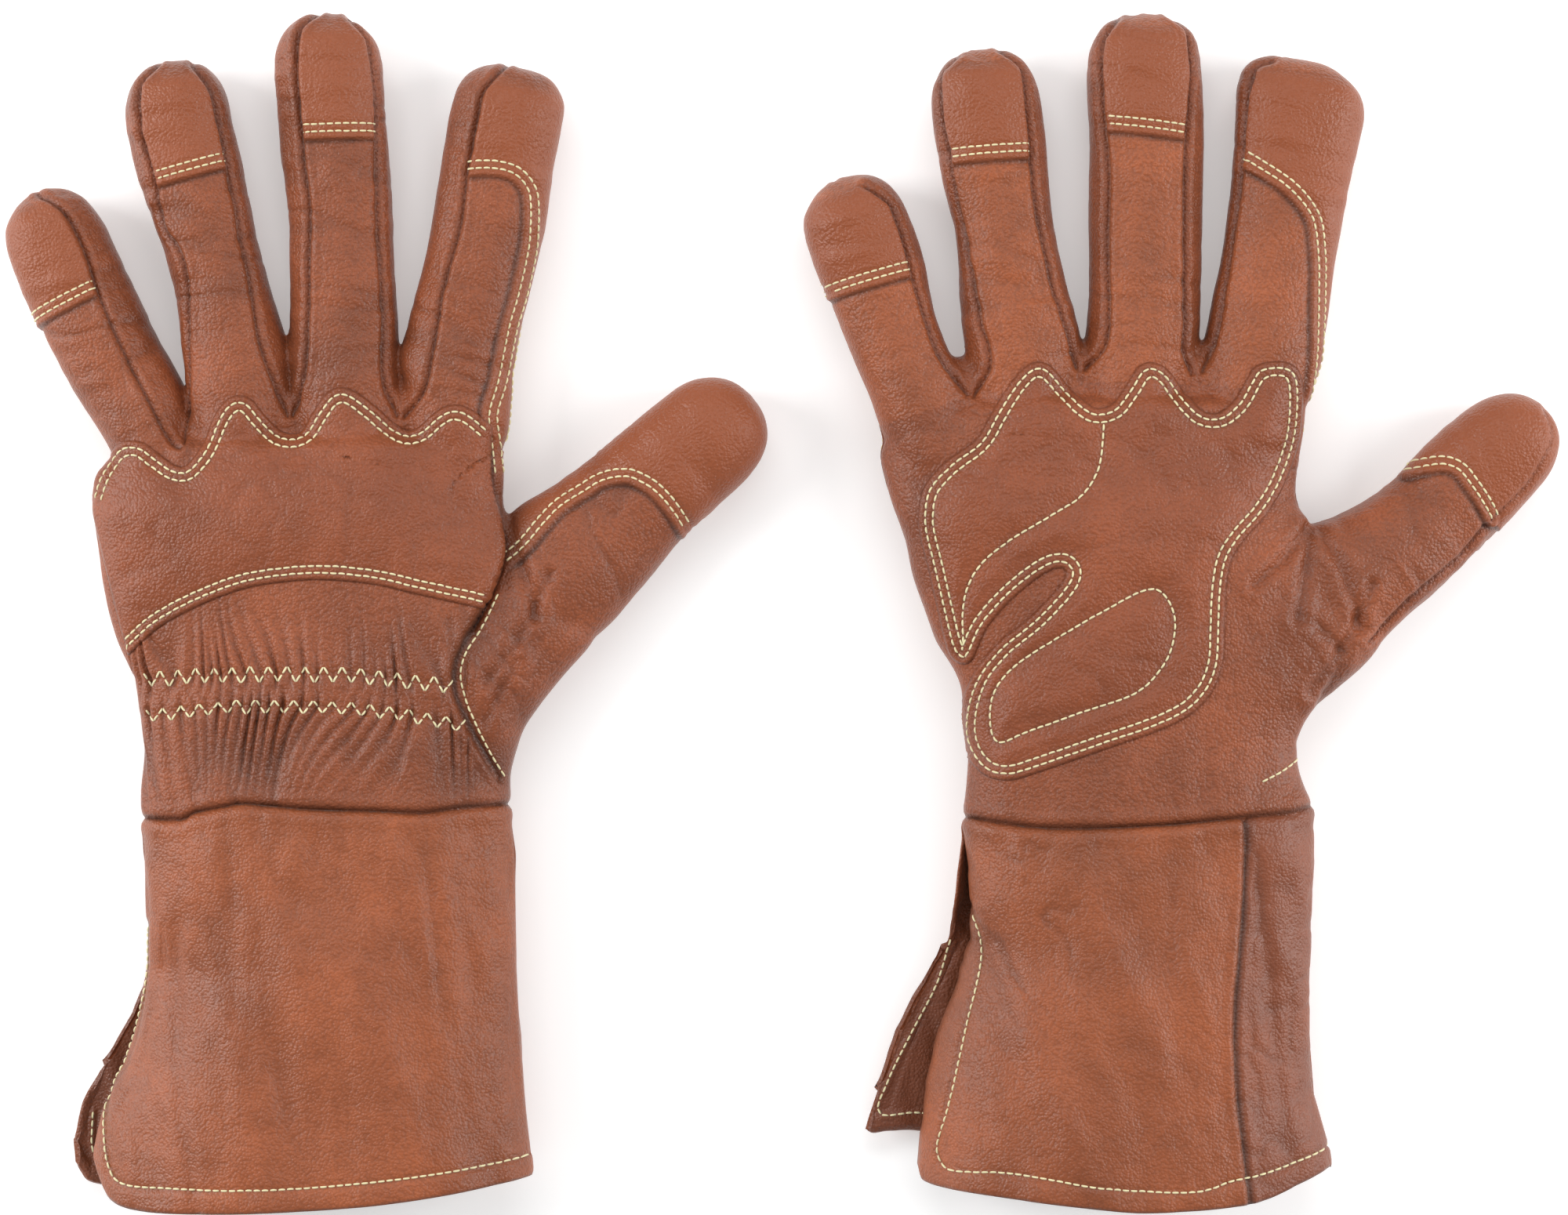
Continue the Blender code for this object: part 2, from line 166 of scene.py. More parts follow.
# Seams that run up each finger, in the finger's own distance and offset, on the back and on the palm.
FINGER_SEAMS = {
    "back": {
        "pinky": (((81, -3), (73, 3.2), (61, 5.4), (48, 5.6), (34, 6.8), (17, 9.6), (3.5, 12), (0, 14.3)),),
        "ring": (((107.5, -4.9), (101, -10.5), (88, -12), (76, -10.4), (62, -9.8), (50, -5.5), (30, -7.5),
                  (15, -9.7), (1, -13)),
                 ((106, 4.4), (97, 8.7), (86, 10), (73, 10.6), (58, 11.4), (40, 12), (25, 12.5), (13, 15),
                  (4, 17))),
        "middle": (((117, -1), (112, -5.8), (103, -7.4), (86, -7.3), (73, -6.9), (61, -6), (41, -7.2),
                    (27, -8.2), (16, -9.8), (4, -13.5)),
                   ((116, 7), (108, 12.3), (99, 13.4), (87, 14), (60, 13), (45, 13), (30, 13.2), (13, 12.4),
                    (2, 15.6))),
        "index": (((104, -2), (95, -6.8), (86, -7.3), (73, -7.5), (57, -6.6), (43, -8), (31, -8.4),
                   (21, -8.3), (10, -8.8), (1.5, -13.2)),),
        "thumb": (),
    },
    "palm": {
        "pinky": (((65, 4.5), (58, 9.8), (48, 10.1), (36, 9.7), (25, 9.5), (14, 9.8), (6, 12), (0.5, 14)),),
        "ring": (((96.5, -6.5), (92, -11.6), (88, -12.7), (78, -13.3), (69, -12.5), (57, -11.8), (44, -10.6),
                  (33, -9.9), (21, -8.8), (9, -7.5), (0, -12.8)),
                 ((97, 5), (90, 10.6), (80, 10.6), (67, 10.6), (54, 10.1), (40, 11), (27, 12.7), (14, 15.3),
                  (5, 16.6))),
        "middle": (((103.5, -6), (96, -10.6), (88, -11), (73, -9.8), (58, -8.3), (38, -8.3), (13, -7.6),
                    (3.5, -13.3)),
                   ((104.5, 8), (99, 13.2), (88, 14.3), (73, 13.4), (59, 13.2), (39, 13.5), (19, 14.2),
                    (10, 14), (3, 16.2))),
        "index": (((93, -6), (90, -10.8), (82, -11.9), (71, -11.4), (62, -11), (50, -11), (37, -11.2),
                   (26, -11.4), (15, -11.8), (3.5, -14.2)),),
        "thumb": (((71, 1), (68, 7.5), (62, 10.5), (54, 13.4), (45, 14.6), (37, 15.6), (28, 17.3), (18, 17.4),
                   (7, 17.6), (-8, 19.4)),),
    },
}

# The edge of each fingertip's second layer: its outer row of stitches, in the finger's distance and offset.
OVERLAY_ROWS = {
    "back": {
        "pinky": ((47, -17), (47.7, -10), (50, 5.4)),
        "ring": ((74.8, -9.9), (76, 0), (77.4, 10.2)),
        "middle": ((82.7, -6.6), (82.5, 3), (82.3, 13.6)),
        "index": ((72.8, -7.6), (74.2, -0.3), (73.7, 5.9), (70.4, 10), (65.9, 11.6), (57, 12.8), (50, 12.8),
                  (40, 12.2), (32, 11.3), (22, 11), (15, 10.8), (6.6, 10), (0, 11.6), (-10, 14.4)),
        "thumb": ((34.4, 18.1), (35.4, 10.5), (35.1, 3.2), (33.1, -2.4), (30.8, -5.4), (25.5, -8.3),
                  (18.7, -9.3), (11.7, -10.1), (4.7, -9.2), (-2.8, -7.7), (-9.8, -7.7)),
    },
    "palm": {
        "pinky": ((39.9, -17), (39.6, -5), (39.1, 9.7)),
        "ring": ((67.7, -11.7), (67.3, 0), (66.9, 10.2)),
        "middle": ((72.5, -9.1), (71.5, 2), (70.4, 12.7)),
        "index": ((64.5, -11.1), (61.5, -5.3), (58.2, 1.2), (53.9, 6.9), (49.3, 10.6), (42.7, 12.6),
                  (34.4, 14.2), (15.3, 16.6), (-0.7, 17.6)),
        "thumb": ((31, -11.2), (35.5, -8.5), (39.8, -5.8), (42, -1.9), (41.9, 3.4), (41.4, 9.5), (40.6, 15)),
    },
}

# Back design, on the left glove's plan.
KNUCKLE_TOP = ((-63.5, 87.5), (-61, 94.5), (-56, 101), (-50.5, 101.5), (-46, 98.3), (-41, 95), (-37, 94.5),
               (-34, 97), (-31, 101.5), (-27.5, 110), (-24, 114), (-20.5, 113.8), (-17, 109.5), (-12.5, 105),
               (-7.5, 103.8), (-3.5, 105.5), (0, 111), (4, 116), (8, 116.2), (14, 112), (19, 107.5),
               (24, 104.8), (28.5, 105.8), (33.5, 110), (37.5, 111.8), (41.5, 110.6), (46.5, 106.5))
KNUCKLE_BOTTOM = ((46.5, 60.5), (37.5, 62.5), (27.5, 64.7), (16, 67.3), (2, 68.6), (-9.5, 68), (-21.5, 66),
                  (-35, 61), (-47, 54.5), (-56.5, 46.5))
KNUCKLE_SIDE = ((48, 106), (47.6, 98), (48.2, 90), (50.5, 82), (52, 74), (50.8, 67), (48, 59.5))
THUMB_FOLD = ((46.5, 118), (47.5, 104), (47.5, 92), (50.5, 82), (52, 74), (49.5, 64), (44.5, 54), (40.5, 47),
              (38, 40), (38, 34), (40.5, 27.5), (44.5, 19.5), (51, 9))
WEB_FOLDS = (((46, 82), (40, 74), (31, 66)), ((47, 81), (45.5, 70), (43, 56)), ((50, 81), (56, 70), (61, 54)),
             ((64, 66), (57, 50), (47, 36)), ((55, 42), (49, 30), (45, 22)))
THUMB_FOLD_STITCHES = ((50, 61), (45.5, 51.5), (40.9, 44.2), (39.6, 38), (41, 31.5), (44.5, 23),
                       (48.5, 15), (51.5, 9.5))
ELASTIC_ROWS = (
    {"top": ((-49.5, 39.0), (-28, 40.5), (-6.5, 40.7), (16, 40), (37.5, 37.2)), "depth": 4.6, "teeth": 17},
    {"top": ((-49.0, 28.6), (-26, 31), (-4.5, 31.4), (18, 30), (41.0, 25.8)), "depth": 3.8, "teeth": 17},
)

# Palm design, on the right glove's plan.
PALM_OUTLINE = (
    (-60.5, 87), (-59, 93), (-53, 99.5), (-45, 105.5), (-40.5, 113), (-35.5, 121), (-31, 125.8), (-27.2, 126),
    (-22.5, 121), (-17.5, 115.7), (-13, 113.3), (-7.5, 114.8), (-3, 120.5), (0.2, 125.6), (3.4, 126.2),
    (7, 123.6), (12, 116.5), (16.5, 112.6), (22, 112.4), (27.5, 116.8), (31, 123), (33.5, 126), (40, 126.4),
    (43, 123), (43.2, 111.5), (41.5, 103), (37.5, 93.5), (32.5, 86), (26.5, 79.5), (22.5, 73), (21, 64),
    (20.5, 52.5), (20, 44.5), (17.5, 37.5), (12, 31.5), (3, 27), (-11.5, 22), (-31, 15.2), (-37.5, 13.4),
    (-43, 14.4), (-47, 19), (-48.7, 25), (-48, 33), (-45, 41), (-39, 48.5), (-31, 55), (-24.5, 61.5),
    (-20.3, 67), (-19.8, 70.3), (-22.2, 72.4), (-26.5, 71.8), (-32.5, 68), (-39, 62.3), (-45, 55.2),
    (-47.7, 49.5), (-49.6, 45.6), (-52.4, 48.5), (-55, 58.5), (-58, 71.5), (-60.3, 81))
PALM_LINE = ((-11, 111), (-11.5, 103.5), (-13, 97), (-17.5, 90.5), (-26.5, 84.8), (-37, 78.5), (-45, 72),
             (-49, 65), (-50.2, 57.5), (-50, 49.5))
PALM_LOOP = ((-40.5, 22), (-42.6, 29), (-41, 37), (-35, 44), (-23.5, 51.5), (-11.5, 58.5), (0, 64.4),
             (5, 63.8), (8.5, 57), (7.5, 48), (3, 40.5), (-3.5, 35.3), (-16.5, 30.8), (-32.5, 25))
THUMB_WRIST_STITCHES = ((33, 11), (39, 14), (46, 18.5))

# Cuff outlines: distance below the wrist seam, then the upper sheet's left edge, the lower sheet's left edge,
# and the right edge.
CUFFS = {
    "left": ((0, -51.5, -51.5, 53), (12, -50.3, -50.3, 54), (32, -49.7, -48, 54.3), (44, -50.6, -49, 54.5),
             (58, -54, -55, 55.2), (70, -57.5, -62, 56), (84, -63, -68, 57.2), (95, -65.7, -71, 58.5),
             (112, -67, -71, 60)),
    "right": ((0, -50, -50, 49), (12, -48.5, -51, 49.3), (24, -47.8, -52.4, 48.2), (34, -48, -55, 48),
              (46, -51, -60.5, 47.6), (60, -55.5, -67.5, 47.5), (77, -59.5, -73.5, 48.8),
              (90, -62.3, -77, 52.5), (112, -64.5, -79, 55.5)),
}

# The wrist seam and the hem on each glove's plan, for the upper and the lower sheet.
WRIST_LINE = {
    "left": ((-51.5, -2), (-38.5, -2), (-34.5, 0), (-22, 2.5), (-13.5, 2), (-1, 1), (16, 0.5), (28.5, 0),
             (41, 1.5), (54, 2)),
    "right": ((-50, 1), (-30, -1.5), (-10.5, -1.5), (9, -0.5), (29, 1.5), (41.5, 2.5), (49.5, 4.5)),
}
HEM_LINE = {
    ("left", "upper"): ((-68, -90), (-65.5, -97), (-62.5, -105), (-57, -109.5), (-43.5, -111), (-7, -110),
                        (24, -107.5), (60, -102)),
    ("left", "lower"): ((-71.5, -98), (-70, -103), (-65, -106.8), (-45, -107.8), (0, -107), (60, -102)),
    ("right", "upper"): ((-64, -91), (-62.5, -99), (-59, -101.8), (-40, -103.8), (-10.5, -107),
                         (4, -107.6), (29, -105.6), (44, -100.6), (55.5, -96)),
    ("right", "lower"): ((-78, -86), (-75.5, -89.5), (-70, -89), (-60, -89.5), (-30, -96), (4, -102),
                         (29, -104), (55.5, -97)),
}
HEM_ROWS = {
    ("left", "upper"): ((-49.5, -31.5), (-49.3, -41), (-50.5, -52), (-55.8, -70), (-59.5, -77), (-61.5, -84),
                        (-61, -91.5), (-59, -100), (-54.5, -103.8), (-38.5, -104.2), (-13.5, -104),
                        (3.5, -103), (24, -101), (45, -98.3), (58.3, -96.3)),
    ("left", "lower"): ((-66.5, -86), (-66.8, -96), (-64, -100), (-50, -101.5), (0, -101.5), (30, -99.5),
                        (57.5, -96.3)),
    ("right", "upper"): ((-47.2, -26.5), (-44.8, -34), (-45.2, -42), (-49, -57.5), (-52.5, -73), (-55, -83),
                         (-57.3, -91), (-56.3, -95.3), (-53.5, -97.3), (-40, -97), (-30, -98), (-10.5, -101),
                         (13, -102), (24, -99), (33.5, -97.3), (53.5, -91)),
    ("right", "lower"): ((-53, -34), (-57, -47.5), (-64.5, -62), (-70.8, -75), (-73, -84), (-60, -84),
                         (-30, -90.5), (4, -97), (29, -98.5), (52.5, -91.5)),
}
SIDE_SEAM = ((28, 1), (28.5, -10.5), (27.5, -28), (25.2, -52.5), (25.5, -72), (27, -87), (29.2, -106))
CUFF_LEATHER = 1.3
SLIT_FROM = {"left": 31.0, "right": 24.0}


class Finger:
    """A finger's own plan: along is the distance from its hinge, offset is measured towards the thumb."""

    def __init__(self, side, name, palm_up, wrist):
        label = f"{side}_{name}"
        bend = joint(f"{label}_bend")
        self.side = side
        self.name = name
        self.base = np.array(bend["pos_m"][:2]) / MM - wrist
        axis = np.array(bend["axis"][:2])
        self.across = axis if palm_up else -axis
        self.along = np.array([-self.across[1], self.across[0]])
        tip = np.array(joint(f"{label}_tip_bend")["pos_m"][:2]) / MM - wrist
        self.cap = float((tip - self.base) @ self.along)
        self.rows = np.array(OUTLINES[side][name], float)
        self.length = self.rows[-1, 0]

    def coords(self, x, y):
        dx, dy = x - self.base[0], y - self.base[1]
        return (dx * self.along[0] + dy * self.along[1], dx * self.across[0] + dy * self.across[1])

    def place(self, s, off):
        return (self.base[0] + s * self.along[0] + off * self.across[0],
                self.base[1] + s * self.along[1] + off * self.across[1])

    def edges(self, s):
        return np.interp(s, self.rows[:, 0], self.rows[:, 1]), np.interp(s, self.rows[:, 0], self.rows[:, 2])

    def blend_base(self):
        return (2.0, 21.0) if self.name == "thumb" else (9.0, 29.0)


class Glove:
    def __init__(self, side):
        self.side = side
        self.palm_up = side == "right"
        wrist = joint(f"{side}_wrist_bend")["pos_m"]
        self.wrist = np.array(wrist[:2]) / MM
        self.fingers = {n: Finger(side, n, self.palm_up, self.wrist) for n in FINGERS}
        self.faces = {"top": "palm" if self.palm_up else "back", "bottom": "back" if self.palm_up else "palm"}


def joint(name):
    return next(j for j in frame["joints"] if j["name"] == name)


def home_of(design):
    """The glove on whose plan a design is drawn."""
    return "left" if design == "back" else "right"


def core_point(side, u, v):
    core = CORES[side]
    left = np.interp(v, CORE_LEVELS, core["left"])
    right = np.interp(v, CORE_LEVELS, core["right"])
    return left + (right - left) * (u + 1) / 2, v * np.interp(u, core["across"], core["front"])


def core_share(side, x, y):
    """The inverse of core_point, by a few rounds of correction."""
    core = CORES[side]
    u = np.zeros_like(x)
    for _ in range(8):
        v = y / np.interp(u, core["across"], core["front"])
        left = np.interp(v, CORE_LEVELS, core["left"])
        right = np.interp(v, CORE_LEVELS, core["right"])
        u = 2 * (x - left) / (right - left) - 1
    return u, v


def carry(points, source, target):
    """Points of one glove's plan, moved to the same place of the other's."""
    points = np.asarray(points, float)
    if source == target:
        return points
    u, v = core_share(source, points[:, 0], points[:, 1])
    return np.column_stack(core_point(target, u, v))


def smooth_line(points, step=1.0, closed=False):
    """A Catmull-Rom curve through the points, sampled about every step millimetres."""
    p = np.asarray(points, float)
    ring = np.vstack([p[-1], p, p[0], p[1]]) if closed else np.vstack([2 * p[0] - p[1], p, 2 * p[-1] - p[-2]])
    out = []
    for a, b, c, d in zip(ring, ring[1:], ring[2:], ring[3:]):
        n = max(2, int(np.linalg.norm(c - b) / step) + 1)
        t = np.linspace(0, 1, n, endpoint=False)[:, None]
        out.append(0.5 * (2 * b + (c - a) * t + (2 * a - 5 * b + 4 * c - d) * t ** 2
                          + (3 * b - a - 3 * c + d) * t ** 3))
    line = np.vstack(out)
    return line if closed else np.vstack([line, p[-1]])


def drawn(points, home, glove, closed=False):
    """A smooth line from points of one glove's plan, on this glove's plan."""
    return smooth_line(carry(points, home, glove.side), LINE_STEP, closed)


def closed_ring(ring):
    return np.vstack([ring, ring[:1]])


def follow(line, x):
    """The second coordinate of a line, where its first is x."""
    return np.interp(x, line[:, 0], line[:, 1])


def resample(line, step, closed=False):
    pts = closed_ring(line) if closed else line
    lengths = np.concatenate([[0], np.cumsum(np.linalg.norm(np.diff(pts, axis=0), axis=1))])
    count = max(2, int(round(lengths[-1] / step)))
    at = np.linspace(0, lengths[-1], count + 1)
    if closed:
        at = at[:-1]
    return np.column_stack([np.interp(at, lengths, pts[:, k]) for k in range(pts.shape[1])])


def offset_line(line, distance, closed=False):
    """The line moved to its left by a distance."""
    if closed:
        tangent = np.roll(line, -1, axis=0) - np.roll(line, 1, axis=0)
    else:
        tangent = np.gradient(line, axis=0)
    tangent /= np.linalg.norm(tangent, axis=1)[:, None] + 1e-12
    return line + distance * np.column_stack([-tangent[:, 1], tangent[:, 0]])


def line_distance(x, y, line, reach):
    """Distance from each point to a line, up to a reach."""
    line = np.asarray(line, float)
    found = np.full(x.shape, reach, float)
    low, high = line.min(0) - reach, line.max(0) + reach
    near = np.nonzero((x > low[0]) & (x < high[0]) & (y > low[1]) & (y < high[1]))[0]
    px, py = x[near], y[near]
    best = np.full(px.shape, reach * reach)
    for a, b in zip(line, line[1:]):
        box = np.nonzero((px > min(a[0], b[0]) - reach) & (px < max(a[0], b[0]) + reach)
                         & (py > min(a[1], b[1]) - reach) & (py < max(a[1], b[1]) + reach))[0]
        if not len(box):
            continue
        d = b - a
        t = np.clip(((px[box] - a[0]) * d[0] + (py[box] - a[1]) * d[1]) / max(d @ d, 1e-9), 0, 1)
        gap = (px[box] - a[0] - t * d[0]) ** 2 + (py[box] - a[1] - t * d[1]) ** 2
        best[box] = np.minimum(best[box], gap)
    found[near] = np.sqrt(best)
    return found


def inside(x, y, polygon):
    """Whether each point is inside a polygon."""
    polygon = np.asarray(polygon, float)
    low, high = polygon.min(0), polygon.max(0)
    result = np.zeros(x.shape, bool)
    near = np.nonzero((x > low[0]) & (x < high[0]) & (y > low[1]) & (y < high[1]))[0]
    px, py = x[near], y[near]
    odd = np.zeros(px.shape, bool)
    for (ax, ay), (bx, by) in zip(polygon, np.roll(polygon, -1, axis=0)):
        crosses = (ay > py) != (by > py)
        odd ^= crosses & (px < (bx - ax) * (py - ay) / (by - ay + 1e-12) + ax)
    result[near] = odd
    return result


def ramp(x, low, high):
    t = np.clip((x - low) / (high - low), 0, 1)
    return t * t * (3 - 2 * t)


def dome(distance, width):
    """1 at a distance of 0, falling smoothly to nothing at about twice the width."""
    return np.exp(-(distance / width) ** 2)


def noise(x, y, seed):
    """Smooth value noise of unit cell, from -1 to 1."""
    x0, y0 = np.floor(x).astype(np.int64), np.floor(y).astype(np.int64)
    fx, fy = x - x0, y - y0
    fx, fy = fx * fx * (3 - 2 * fx), fy * fy * (3 - 2 * fy)

    def corner(i, j):
        h = (i * 374761393 + j * 668265263 + seed * 1442695041) & 0xFFFFFFFF
        h = ((h ^ (h >> 13)) * 1274126177) & 0xFFFFFFFF
        return ((h ^ (h >> 16)) & 0xFFFF) / 32767.5 - 1

    low = corner(x0, y0) * (1 - fx) + corner(x0 + 1, y0) * fx
    high = corner(x0, y0 + 1) * (1 - fx) + corner(x0 + 1, y0 + 1) * fx
    return low * (1 - fy) + high * fy


def fractal(x, y, seed, octaves=3):
    total, weight = 0.0, 0.0
    for k in range(octaves):
        total = total + noise(x * 2 ** k, y * 2 ** k, seed + 17 * k) * 0.5 ** k
        weight += 0.5 ** k
    return total / weight


def creases(x, y, seed, sharp=2.0):
    """Narrow valleys along the lines where a noise passes through zero: 0 on the flat, 1 in a valley."""
    return np.exp(-(np.abs(fractal(x, y, seed, 2)) * 6) ** sharp)


def circle(count):
    return np.linspace(0, 2 * math.pi, count, endpoint=False)


def oval(angles, power):
    c, s = np.cos(angles), np.sin(angles)
    return np.sign(c) * np.abs(c) ** (2 / power), np.sign(s) * np.abs(s) ** (2 / power)


def loft(rings):
    """A closed tube through rings of equal count, its ends filled."""
    n = len(rings[0])
    co = np.vstack(rings)
    faces = []
    for k in range(len(rings) - 1):
        a, b = k * n, (k + 1) * n
        faces += [(a + i, a + (i + 1) % n, b + (i + 1) % n, b + i) for i in range(n)]
    faces.append(tuple(range(n - 1, -1, -1)))
    last = (len(rings) - 1) * n
    faces.append(tuple(range(last, last + n)))
    return co, faces


def soft_edges(rows, level, width):
    """An outline's left and right edges at one level, averaged over a width so that no corner shows."""
    steps = np.arange(rows[0, 0], rows[-1, 0] + 0.5, 1.0)
    near = dome(steps - level, width)
    return [(np.interp(steps, rows[:, 0], rows[:, k]) * near).sum() / near.sum() for k in (1, 2)]


def finger_rings(finger):
    c, s = oval(circle(56), FINGER_POWER)
    rounding = finger.length - TIP_ROUND
    arc = rounding + TIP_ROUND * np.sin(np.linspace(0, math.pi / 2 * 0.985, 14))
    kind = "thumb" if finger.name == "thumb" else "finger"
    grow = GROWTH[finger.side, kind]
    square = 3.0 if finger.name == "index" else 2.3
    rings = []
    for v in np.concatenate([np.arange(finger.rows[0, 0], rounding, 3.0), arc]):
        a, b = soft_edges(finger.rows, v, 4.0)
        ease = ramp(v, 4, 20)
        a, b = a - grow[0] * ease, b + grow[1] * ease
        beyond = max(0.0, (v - rounding) / TIP_ROUND)
        width = (b - a) / 2 * (1 - beyond ** square) ** (1 / square)
        base = BASE_HEIGHT[kind]
        height = (base + (FINGER_HEIGHT - base) * ramp(v, 0, finger.cap)) / 2
        round_down = (1 - beyond ** 2.6) ** (1 / 2.6)
        mid = SKIN_FLOOR + height * (0.82 + 0.18 * round_down)
        x, y = finger.place(v, (a + b) / 2 + width * c)
        rings.append(np.column_stack([x, y, mid + height * round_down * s]))
    return rings


def hand_height(y):
    return WRIST_HEIGHT + (HAND_HEIGHT - WRIST_HEIGHT) * ramp(y, 0, 60)


def hand_ring(rows, y, inset=0.0, squeeze=1.0):
    c, s = oval(circle(120), HAND_POWER)
    left, right = soft_edges(rows, y, 3.0)
    a, b = left + inset, right - inset
    height = (hand_height(y) - 3.0 * ramp(y, 80, 104)) / 2
    x = (a + b) / 2 + (b - a) / 2 * c
    return np.column_stack([x, np.full_like(x, y), SKIN_FLOOR + height + (height * squeeze - inset) * s])


def hand_rings(side):
    """From the inner end of the wrist's hollow out to its mouth, then back over the hand to the knuckles."""
    rows = np.array(HANDS[side], float)
    top = rows[-1, 0] - 3
    rings = [hand_ring(rows, y, inset=2.1 + 6.0 * ramp(y, 46, 58)) for y in np.arange(58, -8, -2.5)]
    rings += [hand_ring(rows, y) for y in np.concatenate([[-7.0], np.arange(-5, top, 2.5)])]
    for t in np.linspace(0, math.pi / 2 * 0.96, 7):
        rings.append(hand_ring(rows, top + 5 * math.sin(t), 2 * (1 - math.cos(t)), math.cos(t)))
    return rings


def web_rings(one, other):
    """Leather between two neighbouring fingers, where they leave the hand."""
    c, s = oval(circle(40), 2.2)
    lean = (one.along + other.along) / 2
    middle = (one.base + other.base) / 2
    rings = []
    for t in np.linspace(0, math.pi / 2 * 0.97, 10):
        along = -14 + 27.0 * math.sin(t)
        y = middle[1] + along
        half = 11.0 * math.cos(t) ** 0.5
        x = middle[0] + lean[0] / lean[1] * along + 8.0 * c
        rings.append(np.column_stack([x, np.full_like(x, y), SKIN_FLOOR + 12.2 + half * s]))
    return rings


def voxel_union(parts):
    """One closed skin round all the tubes, as evenly sized quads."""
    co, faces = [], []
    for points, polygons in parts:
        start = sum(len(p) for p in co)
        co.append(points)
        faces += [tuple(i + start for i in f) for f in polygons]
    mesh = bpy.data.meshes.new("union")
    mesh.from_pydata(np.vstack(co).tolist(), [], faces)
    obj = bpy.data.objects.new("union", mesh)
    bpy.context.scene.collection.objects.link(obj)
    remesh = obj.modifiers.new("skin", "REMESH")
    remesh.mode = "VOXEL"
    remesh.voxel_size = VOXEL
    bpy.context.view_layer.update()
    found = obj.evaluated_get(bpy.context.evaluated_depsgraph_get()).to_mesh()
    points = np.empty(len(found.vertices) * 3)
    found.vertices.foreach_get("co", points)
    quads = np.empty(len(found.loops), np.int64)
    found.loops.foreach_get("vertex_index", quads)
    obj.to_mesh_clear()
    bpy.data.objects.remove(obj)
    return points.reshape(-1, 3), quads.reshape(-1, 4)


def sides_of(faces):
    """Each side of each face, as a pair of points."""
    width = faces.shape[1]
    return np.vstack([faces[:, [k, (k + 1) % width]] for k in range(width)])


def edges_of(faces):
    return np.unique(np.sort(sides_of(faces), axis=1), axis=0)


def smooth_values(values, edges, count, rounds, amount=0.5):
    degree = np.bincount(edges.ravel(), minlength=count).astype(float)[:, None]
    flat = values.reshape(count, -1).copy()
    for _ in range(rounds):
        total = np.column_stack([
            np.bincount(edges[:, 0], flat[edges[:, 1], k], count)
            + np.bincount(edges[:, 1], flat[edges[:, 0], k], count) for k in range(flat.shape[1])])
        flat += amount * (total / degree - flat)
    return flat.reshape(values.shape)


def vertex_normals(co, faces):
    corners = co[faces]
    if faces.shape[1] == 4:
        cross = np.cross(corners[:, 2] - corners[:, 0], corners[:, 3] - corners[:, 1])
    else:
        cross = np.cross(corners[:, 1] - corners[:, 0], corners[:, 2] - corners[:, 0])
    normals = np.column_stack([
        np.bincount(faces.ravel(), np.repeat(cross[:, k], faces.shape[1]), len(co)) for k in range(3)])
    return normals / (np.linalg.norm(normals, axis=1)[:, None] + 1e-12)


def make_piece(glove, name, co, faces, slot, finish=None, layers=None, normals=None):
    """One of a glove's mesh objects, from points in its millimetres. Its layers become named attributes."""
    name = f"{glove.side}_{name}"
    used = np.unique(faces)
    index = np.full(len(co), -1, np.int64)
    index[used] = np.arange(len(used))
    polygons = index[faces]
    points = co[used].copy()
    points[:, :2] += glove.wrist
    mesh = bpy.data.meshes.new(name)
    mesh.vertices.add(len(used))
    mesh.vertices.foreach_set("co", (points * MM).astype(np.float32).ravel())
    mesh.loops.add(polygons.size)
    mesh.loops.foreach_set("vertex_index", polygons.astype(np.int32).ravel())
    mesh.polygons.add(len(polygons))
    width = polygons.shape[1]
    mesh.polygons.foreach_set("loop_start", np.arange(0, polygons.size, width, dtype=np.int32))
    mesh.polygons.foreach_set("use_smooth", np.ones(len(polygons), bool))
    mesh.update(calc_edges=True)
    for key, values in (layers or {}).items():
        layer = mesh.attributes.new(key, "FLOAT", "POINT")
        layer.data.foreach_set("value", values[used].astype(np.float32))
    if normals is not None:
        mesh.normals_split_custom_set_from_vertices(normals[used].tolist())
    mesh.materials.append(MATERIALS[finish or slot])
    obj = bpy.data.objects.new(name, mesh)
    bpy.context.scene.collection.objects.link(obj)
    return obj


def finger_line(finger, design, points):
    """A line in the finger's distance and offset, drawn on the design's home glove, on this glove's plan."""
    points = np.asarray(points, float)
    home = GLOVES[home_of(design)].fingers[finger.name]
    s, off = points[:, 0], points[:, 1]
    if home is not finger:
        left, right = home.edges(s)
        share = (off - left) / (right - left)
        s = np.where(s > 0, s * finger.length / home.length, s)
        left, right = finger.edges(s)
        off = left + share * (right - left)
    return np.column_stack(finger.place(s, off))


def overlay_area(finger, design):
    """The row that edges a fingertip's second layer, and the outline of that layer, on the plan."""
    row = OVERLAY_ROWS[design][finger.name]
    first, last = row[0], row[-1]
    if design == "back" and finger.name == "thumb":
        close = ((last[0], -45), (130, -45), (130, 45), (first[0], 45))
    else:
        close = ((last[0], 45), (150, 45), (150, -45), (first[0], -45))
    line = smooth_line(finger_line(finger, design, row), LINE_STEP)
    around = finger_line(finger, design, close)
    return line, np.vstack([line, around])


